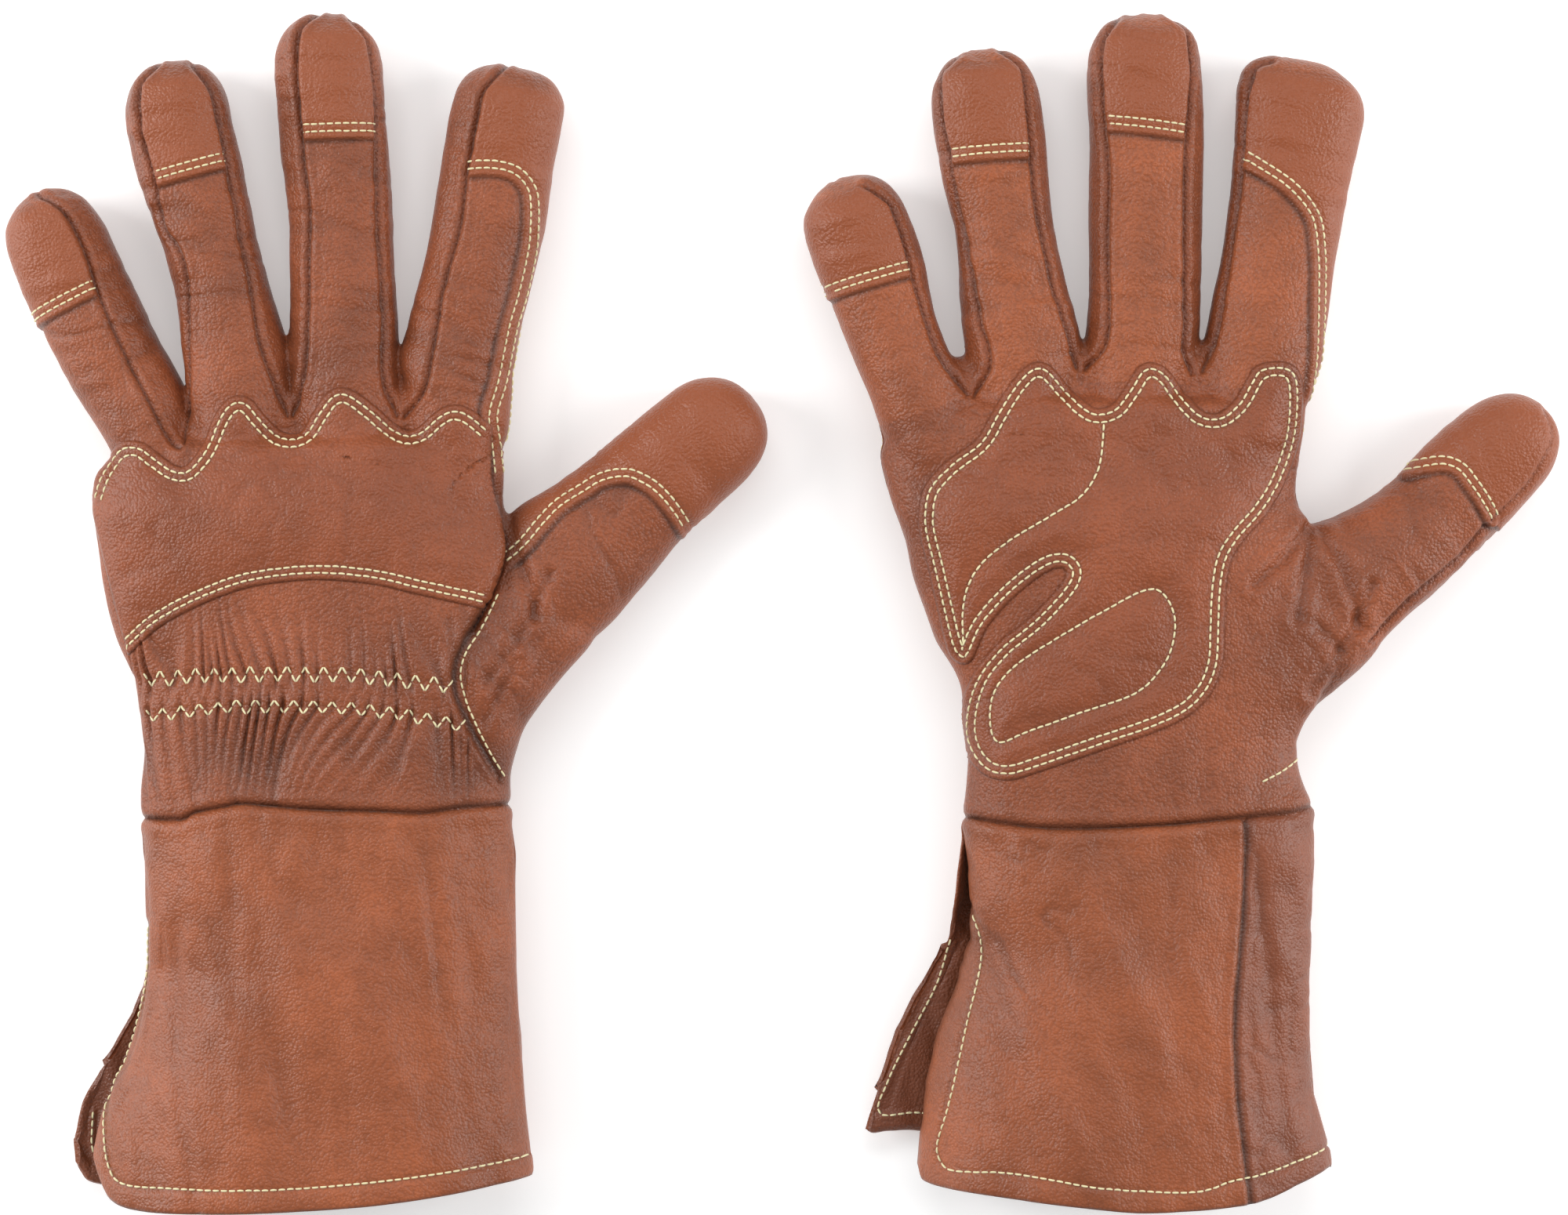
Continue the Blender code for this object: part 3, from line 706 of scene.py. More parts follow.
class Skin:
    """One glove's hand and fingers as a single mesh, with what each of its points belongs to."""

    def __init__(self, glove):
        self.glove = glove
        fingers = list(glove.fingers.values())
        parts = [loft(hand_rings(glove.side))] + [loft(finger_rings(f)) for f in fingers]
        parts += [loft(web_rings(a, b)) for a, b in zip(fingers[:3], fingers[1:4])]
        self.co, self.faces = voxel_union(parts)
        self.co = smooth_values(self.co, edges_of(self.faces), len(self.co), SMOOTH_ROUNDS)
        self.normals = vertex_normals(self.co, self.faces)
        # How much painted shade each point gets, in its creases and seams and beside its layers' edges.
        self.crease = np.zeros(len(self.co))
        self.tone = np.zeros(len(self.co))
        self.find_owners()
        self.shape_leather()
        self.normals = vertex_normals(self.co, self.faces)
        self.surface = Surface(self.co, self.faces)

    def find_owners(self):
        """For each point, the finger it is on (0 for the hand) and its place along and across that finger."""
        x, y = self.co[:, 0], self.co[:, 1]
        best = np.full(len(x), 1e9)
        self.owner = np.zeros(len(x), int)
        self.along = np.zeros(len(x))
        self.off = np.zeros(len(x))
        for k, finger in enumerate(self.glove.fingers.values(), 1):
            s, off = finger.coords(x, y)
            left, right = finger.edges(s)
            away = np.abs(off - (left + right) / 2) - (right - left) / 2 + np.maximum(s - finger.length, 0)
            take = (s > 0) & (away < best) & (away < 14)
            if finger.name == "thumb":
                take &= x > 45
            best[take] = away[take]
            self.owner[take] = k
            self.along[take] = s[take]
            self.off[take] = off[take]
        self.above = ramp(self.co[:, 2], *SIDE_BAND)
        self.inner = (y < HOLLOW_TOP) & self.wall_inside()

    def wall_inside(self):
        """Whether a point is on the inside of the wrist's hollow."""
        x, y, z = self.co.T
        rows = np.array(HANDS[self.glove.side], float)
        left, right = np.interp(y, rows[:, 0], rows[:, 1]), np.interp(y, rows[:, 0], rows[:, 2])
        u = np.abs((x - (left + right) / 2) / ((right - left) / 2))
        height = hand_height(y) / 2
        w = np.abs((z - SKIN_FLOOR - height) / height)
        away = self.normals[:, 0] * (x - (left + right) / 2) + self.normals[:, 2] * (z - SKIN_FLOOR - height)
        return (away < 0) & (u ** HAND_POWER + w ** HAND_POWER < 0.995)

    def shape_leather(self):
        """Second layers, seams and wrinkles, as one push along the normals that leaves the hollow alone."""
        x, y, z = self.co.T
        lift, seams = np.zeros(len(x)), np.zeros(len(x))
        self.overlay = {}
        for face, weight in (("top", self.above), ("bottom", 1 - self.above)):
            for k, finger in enumerate(self.glove.fingers.values(), 1):
                away = np.hypot(x - finger.base[0], y - finger.base[1])
                beside = (self.owner == 0) & (away < FINGER_REACH)
                near = np.nonzero(((self.owner == k) | beside) & (weight > 0.02))[0]
                raised = self.second_layer(face, finger, near, weight[near], lift)
                self.sink_seams(self.glove.faces[face], finger, near, weight[near], 1 - 0.5 * raised, seams)
        seams += lift
        seams += self.wrinkles(x, y, z) * (0.35 + 0.65 * ramp(np.abs(self.normals[:, 2]), 0.1, 0.6))
        self.co += self.normals * np.where(self.inner, 0.0, seams)[:, None]
        self.crease = np.clip(self.crease, 0, 1)

    def second_layer(self, face, finger, near, weight, lift):
        """Raises the leather where a fingertip has its second layer, and dips it along that layer's rows."""
        x, y = self.co[near, 0], self.co[near, 1]
        design = self.glove.faces[face]
        line, area = overlay_area(finger, design)
        gap = line_distance(x, y, line, 6.0)
        signed = np.where(inside(x, y, area), gap, -gap)
        s, off = finger.coords(x, y)
        fade = ramp(s, -12, -5) if finger.name == "thumb" else ramp(s, -3, 3)
        share = self.strip_share(finger, design, s, off)
        raised = ramp(signed, -2.55, -1.75) * fade * share
        self.overlay[face, finger.name] = np.zeros(len(self.co))
        self.overlay[face, finger.name][near] = raised
        dip = 0.45 * dome(gap, 0.7) + 0.4 * dome(gap - ROW_GAP, 0.7) * (signed > 0)
        edge = dome(signed + 2.7, 0.7) * fade * share
        lift[near] += weight * (OVERLAY * raised - dip * fade * (raised > 0.1) - 0.25 * edge)
        # Painted shade along the step just outside the second layer's edge.
        self.crease[near] += 0.75 * edge * weight
        self.tone[near] = np.maximum(self.tone[near], raised * (weight > 0.5))
        return raised

    def sink_seams(self, design, finger, near, weight, under, sunk):
        """Presses each finger seam in, less so under a second layer, and swells the leather beside it."""
        for seam in FINGER_SEAMS[design][finger.name]:
            path = smooth_line(finger_line(finger, design, seam), LINE_STEP)
            d = line_distance(self.co[near, 0], self.co[near, 1], path, 6.0)
            groove = -1.1 * dome(d, 0.6) + 0.45 * dome(d - 1.9, 1.0)
            sunk[near] += weight * groove * under
            # Painted shade along the seam's groove, less under a second layer.
            self.crease[near] += weight * dome(d, 0.5) * 0.5 * under

    def strip_share(self, finger, design, s, off):
        """1 between a finger's seams, where its second layer is, and 0 on the fourchettes beside them."""
        if finger.name == "thumb":
            return np.ones(len(s))
        share = 1 - ramp(s, finger.length - 9, finger.length - 3)
        for edge, outward in self.seam_edges(finger, design, s):
            share = np.minimum(share, ramp((edge - off) * outward, 0.2, 1.2))
        return share

    def seam_edges(self, finger, design, s):
        """Each of a finger's seams: its offset at every distance s, and which way is outwards from it."""
        found = []
        for seam in FINGER_SEAMS[design][finger.name]:
            path = finger_line(finger, design, seam)
            a, b = finger.coords(path[:, 0], path[:, 1])
            order = np.argsort(a)
            found.append((np.interp(s, a[order], b[order]), 1.0 if b.mean() > 0 else -1.0))
        return found

    def gathers(self, x, level, y, above, seed):
        """Pinched folds that run away from a row of elastic: how deep each valley is, which also sets the
        painted shade in it, and how high the leather puffs beside it.
        """
        way = y - level if above else level - y
        lean = 0.30 * np.sin(x / 23 + seed) + 0.25 * noise(x / 16, 0 * x, seed + 1)
        lean += 0.006 * x if above else 0.0
        phase = (x - lean * np.maximum(way, 0)) / 3.9 + 1.5 * noise(x / 12, y / 60, seed + 2)
        line = np.floor(phase)
        half = np.full(len(x), 0.5)
        pick, other = noise(line, half, seed + 3), noise(line + 91.0, half, seed + 4)
        reach = np.maximum(14.0 + 10.0 * pick if above else 17.0 + 12.0 * pick, 4.0)
        valley = dome(np.abs(phase - line - 0.5) * 3.7, 0.55 + 0.035 * np.maximum(way, 0))
        fade = np.where(way > 0, dome(way, reach), dome(way, 4.0))
        strength = np.clip(0.72 + 0.6 * other, 0.2, 1.05) * fade
        return valley * strength, (1 - valley) * strength

    def wrinkles(self, x, y, z):
        """How far all the folds lift the leather at each point. Each kind also paints shade into its own
        creases.
        """
        seed = 11 if self.glove.side == "left" else 47
        back = 1 - self.above if self.glove.palm_up else self.above
        w = 0.55 * fractal(x / 19, y / 24, seed) + 0.16 * fractal(x / 6, y / 7 + z / 9, seed + 3)
        w += self.finger_creases(seed)
        w += self.knuckle_creases(x, y, seed)
        w += self.thumb_web(x, y, seed)
        w += self.wrist_gathers(x, y, seed, back)
        w += self.wrist_seam(x, y)
        w += self.thumb_fold(x, y, back)
        return w

    def finger_creases(self, seed):
        s, off = self.along, self.off
        bands = noise(s / 3.4 + off * 0.02, off / 16 + self.owner * 7.3, seed + 5)
        patchy = ramp(fractal(s / 16, self.owner * 3.1, seed + 9, 1), -0.5, 0.3)
        calm = ramp(s, 2, 12) * (0.35 + 0.65 * patchy) * (self.owner > 0)
        on_cap = 1 - 0.6 * np.clip(self.tone, 0, 1)
        cross = creases(s / 9 + 0.25 * off / 15, off / 26 + self.owner * 5.1, seed + 13)
        # Painted shade in the creases across the fingers, less on the caps.
        self.crease += 0.24 * calm * on_cap * cross
        return 0.34 * calm * bands - 0.5 * calm * on_cap * cross

    def knuckle_creases(self, x, y, seed):
        near = dome(y - KNUCKLE_LEVEL, 14) * (1 - ramp(self.along, 22, 40))
        skewed = near * creases(x / 24 + y / 30, y / 8.5, seed + 17)
        # Painted shade in the creases over the knuckles.
        self.crease += 0.26 * skewed
        return -0.45 * skewed

    def thumb_web(self, x, y, seed):
        """Folds that cross between the thumb and the hand."""
        web = dome(x - WEB_PLACE[0], 16) * dome(y - WEB_PLACE[1], 20)
        fold = creases((x * 0.7 + y * 0.7) / 13, (y * 0.7 - x * 0.7) / 30, seed + 21)
        fine = creases((x + y) / 9, (y - x) / 16, seed + 23)
        # Painted shade in the folds at the thumb's web.
        self.crease += web * (0.3 * fold + 0.15 * fine)
        return -web * (1.0 * fold + 0.35 * fine)

    def wrist_gathers(self, x, y, seed, back):
        """Gathers at the elastic rows, and the slack leather between them and the wrist's seam."""
        on_hand = self.owner == 0
        span = ramp(x, -56, -48) * (1 - ramp(x, 40, 46)) * back * on_hand * ramp(y, -3, 4)
        w = np.zeros(len(x))
        for k, row in enumerate(ELASTIC_ROWS):
            line = carry(row["top"], "left", self.glove.side)
            level = follow(line, x) - row["depth"] / 2
            valley, puff = self.gathers(x, level, y, k == 0, seed + 31 + 7 * k)
            w += span * (0.75 * puff - 1.25 * valley - 0.55 * dome(y - level, 1.7))
            # Painted shade in the valleys of the gathers.
            self.crease += 0.5 * span * valley
        slack = dome(y - 12, 14) * ramp(y, -4, 4) * on_hand
        long_fold = creases(x / 13 + y / 60, y / 45 + 3, seed + 37) * (0.3 + 0.7 * back)
        # Painted shade in the long folds of the slack leather.
        self.crease += 0.4 * slack * long_fold
        return w + slack * (0.5 * noise(x / 5.5, y / 26, seed + 38) - 0.75 * long_fold)

    def wrist_seam(self, x, y):
        wrist = np.array(WRIST_LINE[self.glove.side], float)
        below = y - follow(wrist, x)
        on_hand = self.owner == 0
        # Painted shade along the wrist seam.
        self.crease += 0.8 * dome(below, 0.8) * on_hand
        return 0.35 * dome(below - 2.6, 1.4) * on_hand - 1.5 * ramp(-below, -1.4, 0.6)

    def thumb_fold(self, x, y, back):
        """The seam where the thumb meets the back, the hollow beside it, and the folds at its base."""
        path = smooth_line(carry(THUMB_FOLD, "left", self.glove.side), 1.0)
        d = line_distance(x, y, path, 16.0)
        low = 1 - ramp(y, 45, 75)
        groove = (1.3 + 0.6 * low) * dome(d, 0.8 + 0.3 * low)
        beside = x > np.interp(y, path[::-1, 1], path[::-1, 0])
        hand = (self.owner == 0) | (self.owner == 1 + FINGERS.index("thumb"))
        under = dome(d, 5.0) * beside * ramp(y, 12, 40) * (1 - ramp(y, 84, 96))
        shadow = dome(d, 9.0) * beside * ramp(y, 55, 74) * (1 - ramp(y, 90, 100))
        w = back * hand * (0.6 * dome(d - 2.3, 1.2) * ~beside - groove - 2.6 * under)
        # Painted shade in the thumb's seam groove, and a painted shadow beside it where the thumb goes under
        # the hand's edge.
        self.crease += back * hand * (dome(d, 0.8) + 0.6 * shadow)
        shown = hand * np.where(back > 0.5, beside * ramp(d, 2, 5), 1.0)
        for points in WEB_FOLDS:
            away = line_distance(x, y, smooth_line(points, 1.0), 9.0)
            w += shown * (0.55 * dome(away - 3.2, 1.9) - 0.85 * dome(away, 1.4))
            # Painted shade in each web fold.
            self.crease += 0.2 * shown * dome(away, 1.2)
        return w

    def region(self):
        """A name for each face: the panel that it is part of."""
        glove = self.glove
        middle = self.faces[:, 0]
        x, y = self.co[middle, 0], self.co[middle, 1]
        top = self.co[middle, 2] > SIDE_MIDDLE
        names = np.where(top, glove.faces["top"] + "_panel", glove.faces["bottom"] + "_panel").astype(object)
        names[y < WRIST_SPLIT] = "wrist_panel"
        for k, finger in enumerate(glove.fingers.values(), 1):
            mine = self.owner[middle] == k
            s, off = self.along[middle], self.off[middle]
            for face, on in (("top", top), ("bottom", ~top)):
                design = glove.faces[face]
                edges = [edge for edge, _ in self.seam_edges(finger, design, s)]
                label = np.full(len(s), f"{design}_strip" if finger.name != "thumb" else f"{design}_panel",
                                dtype=object)
                if finger.name in ("ring", "middle"):
                    label[off < edges[0]] = "outer_fourchette"
                    label[off > edges[1]] = "inner_fourchette"
                elif finger.name == "pinky":
                    label[off > edges[0]] = "inner_fourchette"
                elif finger.name == "index":
                    label[off < edges[0]] = "outer_fourchette"
                over = self.overlay[face, finger.name][middle] > 0.15
                label[over] = "side_wrap" if finger.name == "index" else "tip_cap"
                if finger.name == "index":
                    label[over & (s > finger.cap - 2)] = "tip_cap"
                here = mine & on
                names[here] = [f"{finger.name}_{n}" for n in label[here]]
            ahead = mine & (s > finger.cap - TIP_SPLIT)
            names[ahead] = [n if n.endswith("tip_cap") else n + "_end" for n in names[ahead]]
            lower = mine & ~ahead
            names[lower] = [n + "_lower" if n.endswith("tip_cap") else n for n in names[lower]]
        return names


GLOVES = {side: Glove(side) for side in ("left", "right")}


def shade(colour, factor):
    return tuple(min(1.0, c * factor) for c in colour[:3]) + (1.0,)


def linear(r, g, b):
    """An sRGB colour of 0 to 255 in linear light."""
    return tuple((c / 255 / 12.92) if c / 255 <= 0.04045 else ((c / 255 + 0.055) / 1.055) ** 2.4
                 for c in (r, g, b)) + (1.0,)


# The darker leather of the right cuff's strip, also mixed into the cuff's inner face as painted shade.
DARK_LEATHER_AND_INNER_SHADE = (0.155, 0.042, 0.019, 1.0)
# Painted shade: the dark colour mixed into creases, seams, layer edges and the cuff's inner face, where shade
# falls.
PAINTED_SHADE_COLOUR = (0.05, 0.017, 0.009, 1.0)


class Look:
    """A procedural material as it is put together."""

    def __init__(self, name):
        self.material = bpy.data.materials.new(name)
        self.material.use_nodes = True
        self.tree = self.material.node_tree

    def fill(self, node, inputs):
        """Gives a node's inputs their values, or links them where the value is another node's output."""
        for key, value in inputs.items():
            if isinstance(value, bpy.types.NodeSocket):
                self.tree.links.new(value, node.inputs[key])
            else:
                node.inputs[key].default_value = value

    def node(self, kind, output, inputs=None, **settings):
        """One output of a new node."""
        node = self.tree.nodes.new(f"ShaderNode{kind}")
        for key, value in settings.items():
            setattr(node, key, value)
        self.fill(node, inputs or {})
        return node.outputs[output]

    def texture(self, kind, output, scale, inputs=None, **settings):
        inputs = {"Vector": self.node("TexCoord", "Object"), "Scale": scale, **(inputs or {})}
        return self.node(f"Tex{kind}", output, inputs, **settings)

    def mix(self, a, b, share):
        return self.node("Mix", 2, {0: share, 6: a, 7: b}, data_type="RGBA")

    def spread(self, value, low, high, to_low=0.0, to_high=1.0):
        limits = {"From Min": low, "From Max": high, "To Min": to_low, "To Max": to_high}
        return self.node("MapRange", "Result", {"Value": value, **limits})

    def bump(self, height, strength, distance, invert=False):
        inputs = {"Height": height, "Strength": strength, "Distance": distance}
        return self.node("Bump", "Normal", inputs, invert=invert)

    def finish(self, inputs):
        self.fill(self.tree.nodes["Principled BSDF"], inputs)
        return self.material


def leather(name, base, grain=1.0, cell=0.85):
    """Pebbled, waxed leather with broad random changes of tone and gloss: paler on the second layer, darker
    on the cuff's strip, with painted shade in its creases, seams and edges and inside the cuff.
    """
    look = Look(name)
    broad = look.texture("Noise", "Fac", 38.0, {"Detail": 4.0, "Roughness": 0.6})
    fine = look.texture("Noise", "Fac", 420.0, {"Detail": 3.0, "Roughness": 0.6})
    pebbles = look.texture("Voronoi", "Distance", 1000.0 / cell, {"Smoothness": 0.35}, feature="SMOOTH_F1")
    small = look.texture("Voronoi", "Distance", 2300.0 / cell)
    # How much painted shade each point has, from its creases, seams and edges.
    crease = look.node("Attribute", "Fac", attribute_name="crease")
    tone = look.node("Attribute", "Fac", attribute_name="tone")
    colour = look.mix(shade(base, 0.76), shade(base, 1.24), look.spread(broad, 0.32, 0.68))
    for paint, share in (
            (shade(base, 0.62), look.spread(fine, 0.5, 0.85, 0.0, 0.35)),
            (shade(base, 0.5), look.spread(pebbles, 0.35, 0.75, 0.0, 0.42 * grain)),
            (shade(base, 1.05), look.spread(tone, 0.0, 1.0, 0.0, 0.85)),
            # darker strip, and painted shade on the cuff's inner face
            (DARK_LEATHER_AND_INNER_SHADE, look.spread(tone, -1.0, 0.0, 0.55, 0.0)),
            # painted shade in creases, seams and edges
            (PAINTED_SHADE_COLOUR, look.spread(crease, 0.05, 1.0, 0.0, 0.82))):
        colour = look.mix(colour, paint, share)
    relief = look.node("Math", 0, {0: small, 1: 0.28, 2: pebbles}, operation="MULTIPLY_ADD")
    return look.finish({
        "Base Color": colour,
        "Roughness": look.spread(broad, 0.3, 0.7, 0.32, 0.46),
        "Normal": look.bump(relief, 0.9 * grain, 0.0003, invert=True),
        "IOR": 1.46,
        "Specular IOR Level": 0.5,
        "Sheen Weight": 0.06,
        "Sheen Roughness": 0.45,
        "Sheen Tint": (1.0, 0.82, 0.74, 1.0),
    })


def yarn(name, base):
    """Waxed thread: fine twisted strands over a slightly uneven colour."""
    look = Look(name)
    strands = look.texture("Wave", "Fac", 1400.0, {"Distortion": 1.5}, bands_direction="DIAGONAL")
    uneven = look.texture("Noise", "Fac", 160.0)
    return look.finish({
        "Base Color": look.mix(shade(base, 0.72), shade(base, 1.08), uneven),
        "Normal": look.bump(strands, 0.4, 0.00006),
        "Roughness": 0.75,
        "Sheen Weight": 0.25,
    })


MATERIALS = {
    "hand_leather": leather("hand_leather", linear(137, 70, 37)),
    "wrist_leather": leather("wrist_leather", linear(133, 68, 36)),
    "gusset_leather": leather("gusset_leather", linear(135, 69, 37)),
    "tip_leather": leather("tip_leather", linear(138, 71, 38)),
    "patch_leather": leather("patch_leather", linear(135, 68, 35)),
    "cuff_leather": leather("cuff_leather", linear(145, 76, 41), grain=0.85, cell=0.8),
    "palm_strip": leather("palm_strip_leather", linear(148, 77, 41)),
    "elastic": yarn("elastic_thread", linear(232, 222, 178)),
    "thread": yarn("seam_thread", linear(232, 222, 176)),
    "brown_thread": yarn("brown_seam_thread", linear(112, 52, 30)),
}
SLOT_OF = {"panel": "hand_leather", "strip": "hand_leather", "fourchette": "gusset_leather",
           "wrap": "tip_leather", "cap": "tip_leather"}


def plan_point(glove, xy, z=0.0):
    """A place on a glove's plan as a point of the frame, in metres."""
    return ((xy[0] + glove.wrist[0]) * MM, (xy[1] + glove.wrist[1]) * MM, z * MM)


def finger_ends(glove, finger, start, end):
    return (plan_point(glove, finger.place(start, 0)), plan_point(glove, finger.place(end, 0)))


def attach(obj, glove, zone):
    """Places a piece by the zone it lies in: a hand or cuff piece is tied to that body, a wrist piece or a
    finger's base or end only has its transform baked in.
    """
    side = glove.side
    if zone == "hand":
        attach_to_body(obj, f"{side}_hand")
    elif zone == "cuff":
        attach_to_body(obj, f"{side}_cuff")
    elif zone == "wrist":
        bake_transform(obj)
    else:
        name, part = zone
        finger = glove.fingers[name]
        if part == "base":
            low, high = finger.blend_base()
            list(finger_ends(glove, finger, low, high))
            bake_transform(obj)
        else:
            low, high = finger.cap - TIP_SPLIT + 1, finger.cap + 6
            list(finger_ends(glove, finger, low, high))
            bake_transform(obj)


def skin_zone(label):
    """The zone a region of the skin lies in: the hand, the wrist, or a finger's base or end."""
    first = label.split("_")[0]
    if first in FINGERS:
        return first, "tip" if label.endswith(("_end", "tip_cap")) else "base"
    return "wrist" if first == "wrist" else "hand"


def build_skin(glove):
    """One piece for each region of the skin. It stands for the CAD node of its name, if there is one."""
    skin = Skin(glove)
    names = skin.region()
    layers = {"crease": skin.crease, "tone": skin.tone}
    for label in sorted(set(names)):
        stem = label.replace("_end", "").replace("_lower", "")
        slot = "wrist_leather" if stem == "wrist_panel" else SLOT_OF[stem.split("_")[-1]]
        finish = "palm_strip" if stem.endswith("palm_strip") else slot
        mine = skin.faces[names == label]
        piece = make_piece(glove, f"{label}_skin", skin.co, mine, slot, finish, layers, skin.normals)
        attach(piece, glove, skin_zone(label))
        if f"{glove.side}_{stem}" in frame["nodes"]:
            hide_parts(f"{glove.side}_{stem}")
    return skin


SKY, GROUND = 150.0, -60.0


class Surface:
    """Somewhere to lay things: a mesh's upper or lower side, found by dropping points on it."""

    def __init__(self, co, faces):
        if faces.shape[1] == 4:
            faces = np.vstack([faces[:, [0, 1, 2]], faces[:, [0, 2, 3]]])
        self.tree = BVHTree.FromPolygons(co.tolist(), faces.tolist(), epsilon=0.0)

    def drop(self, xy, face, level=14.0):
        """Where each point of the plan lies on this side, and which way is out there."""
        start, way = (SKY, Vector((0, 0, -1))) if face == "top" else (GROUND, Vector((0, 0, 1)))
        spots, normals = [], []
        for x, y in xy:
            hit, normal, _, _ = self.tree.ray_cast(Vector((x, y, start)), way)
            if hit is None:
                hit, normal, _, _ = self.tree.find_nearest(Vector((x, y, level)))
            spots.append(hit)
            normals.append(normal)
        return np.array(spots), np.array(normals)


def capsules(centres, tangents, normals, lengths, radius):
    """Short stitches, each a rounded bar whose ends sink into the leather."""
    t = np.array([-1.0, -0.82, -0.3, 0.3, 0.82, 1.0])
    girth = np.array([0.12, 0.8, 1.0, 1.0, 0.8, 0.12])
    rise = np.array([-0.55, 0.1, 0.55, 0.55, 0.1, -0.55])
    phi = np.linspace(0, 2 * math.pi, 7, endpoint=False)
    sides = np.cross(normals, tangents)
    n = len(centres)
    rings = []
    for k in range(len(t)):
        spine = centres + tangents * (lengths * t[k] / 2)[:, None] + normals * (rise[k] * radius)
        for angle in phi:
            rings.append(spine + sides * (math.cos(angle) * radius * girth[k])
                         + normals * (math.sin(angle) * radius * girth[k]))
    co = np.stack(rings, axis=1).reshape(-1, 3)
    m, per = len(phi), len(phi) * len(t)
    one = [(a * m + i, a * m + (i + 1) % m, (a + 1) * m + (i + 1) % m, (a + 1) * m + i)
           for a in range(len(t) - 1) for i in range(m)]
    faces = (np.array(one)[None] + (np.arange(n) * per)[:, None, None]).reshape(-1, 4)
    return co, faces


class Thread:
    """Collects stitches by the zone they lie in, then makes one piece of each zone's."""

    def __init__(self, glove):
        self.glove = glove
        self.found = {}

    def sew(self, surface, line, face, zone, pitch=STITCH_PITCH, share=STITCH_LENGTH / STITCH_PITCH,
            radius=THREAD_RADIUS, lean=0.0, sunk=0.0):
        """Stitches along a line of the plan. The zone is a name, or a function that names each place's."""
        ends = resample(np.asarray(line, float), pitch)
        middle = (ends[1:] + ends[:-1]) / 2
        step = ends[1:] - ends[:-1]
        side = np.column_stack([-step[:, 1], step[:, 0]]) * lean
        tips = (step + side) * share / 2
        spots, normals = surface.drop(middle, face)
        ahead, _ = surface.drop(middle + tips, face)
        behind, _ = surface.drop(middle - tips, face)
        tangent = ahead - behind
        length = np.linalg.norm(tangent, axis=1)
        good = (length > 0.2) & (length < 2.2 * pitch)
        tangent = tangent / np.maximum(length, 1e-6)[:, None]
        normals = normals - tangent * (normals * tangent).sum(1)[:, None]
        normals /= np.linalg.norm(normals, axis=1)[:, None] + 1e-9
        outward = 1.0 if face == "top" else -1.0
        normals *= np.where(normals[:, 2] * outward < -0.3, -1.0, 1.0)[:, None]
        names = zone(middle) if callable(zone) else [zone] * len(middle)
        for k in np.nonzero(good)[0]:
            place = (spots[k] + (ahead[k] + behind[k]) / 2) / 2 - normals[k] * sunk
            self.found.setdefault((names[k], radius), []).append((place, tangent[k], normals[k], length[k]))

    def make(self, stem="stitches", slot="thread", finish=None):
        """One piece for each zone that has stitches."""
        pieces = {}
        for (zone, radius), rows in self.found.items():
            co, faces = capsules(*(np.array([row[k] for row in rows]) for k in range(4)), radius)
            pieces.setdefault(zone, []).append((co, faces))
        made = []
        for zone, parts in pieces.items():
            start, points, polygons = 0, [], []
            for co, faces in parts:
                points.append(co)
                polygons.append(faces + start)
                start += len(co)
            label = zone if isinstance(zone, str) else "_".join(zone)
            co, faces = np.vstack(points), np.vstack(polygons)
            piece = make_piece(self.glove, f"{label}_{stem}", co, faces, slot, finish)
            attach(piece, self.glove, zone)
            made.append(piece)
        return made


def finger_zone(finger):
    """A function that names the zone of each place on a finger or just below it."""
    def name_zone(s):
        return "hand" if s <= 0 else (finger.name, "base" if s < finger.cap - TIP_SPLIT else "tip")

    return lambda places: [name_zone(s) for s in finger.coords(places[:, 0], places[:, 1])[0]]


def hand_zone(places):
    return ["wrist" if y < WRIST_SPLIT else "hand" for _, y in places]


def fill_outline(outline, step):
    """Triangles that fill a closed outline: a fine even grid inside it and its own points round the edge."""
    low, high = outline.min(0), outline.max(0)
    gx, gy = np.meshgrid(np.arange(low[0], high[0], step), np.arange(low[1], high[1], step * 0.866))
    gx[1::2] += step / 2
    x, y = gx.ravel(), gy.ravel()
    keep = inside(x, y, outline)
    x, y = x[keep], y[keep]
    gap = line_distance(x, y, closed_ring(outline), step)
    keep = gap > 0.55 * step
    points = np.vstack([outline, np.column_stack([x[keep], y[keep]])])
    n = len(outline)
    ring = [(i, (i + 1) % n) for i in range(n)]
    co, _, faces, _, _, _ = delaunay_2d_cdt([Vector(p) for p in points.tolist()], ring, [], 1, 1e-7)
    return np.array([tuple(v) for v in co]), np.array([f for f in faces if len(f) == 3])


def border_loop(faces):
    """The outer edge of a filled outline, as pairs of points that run the way their faces do."""
    ends = sides_of(faces)
    key = np.sort(ends, axis=1)
    _, first, count = np.unique(key, axis=0, return_index=True, return_counts=True)
    return ends[first[count == 1]]


# Each patch's seed, and how far it is padded out between its rows.
PATCHES = {"knuckle_patch": (5, 0.55), "palm_patch": (23, 0.9)}


def patch_height(x, y, to_edge, to_row, wrinkle, seed, pad):
    """How far a patch stands up: rolled at its edge, pulled in along its rows and padded between them."""
    height = PATCH * (0.35 + 0.65 * (1 - dome(to_edge, 0.5)))
    height -= 0.42 * dome(to_row, 0.55)
    height += pad * (1 - dome(np.maximum(to_row - 0.5, 0), 3.6)) * ramp(to_edge, 1.0, 5.0)
    height += 0.4 * fractal(x / 15, y / 15, seed) * ramp(to_edge, 1, 8)
    height += 0.12 * fractal(x / 4.5, y / 4.5, seed + 2) * ramp(to_edge, 1, 4)
    return height - 0.22 * wrinkle * ramp(to_edge, 2, 6)


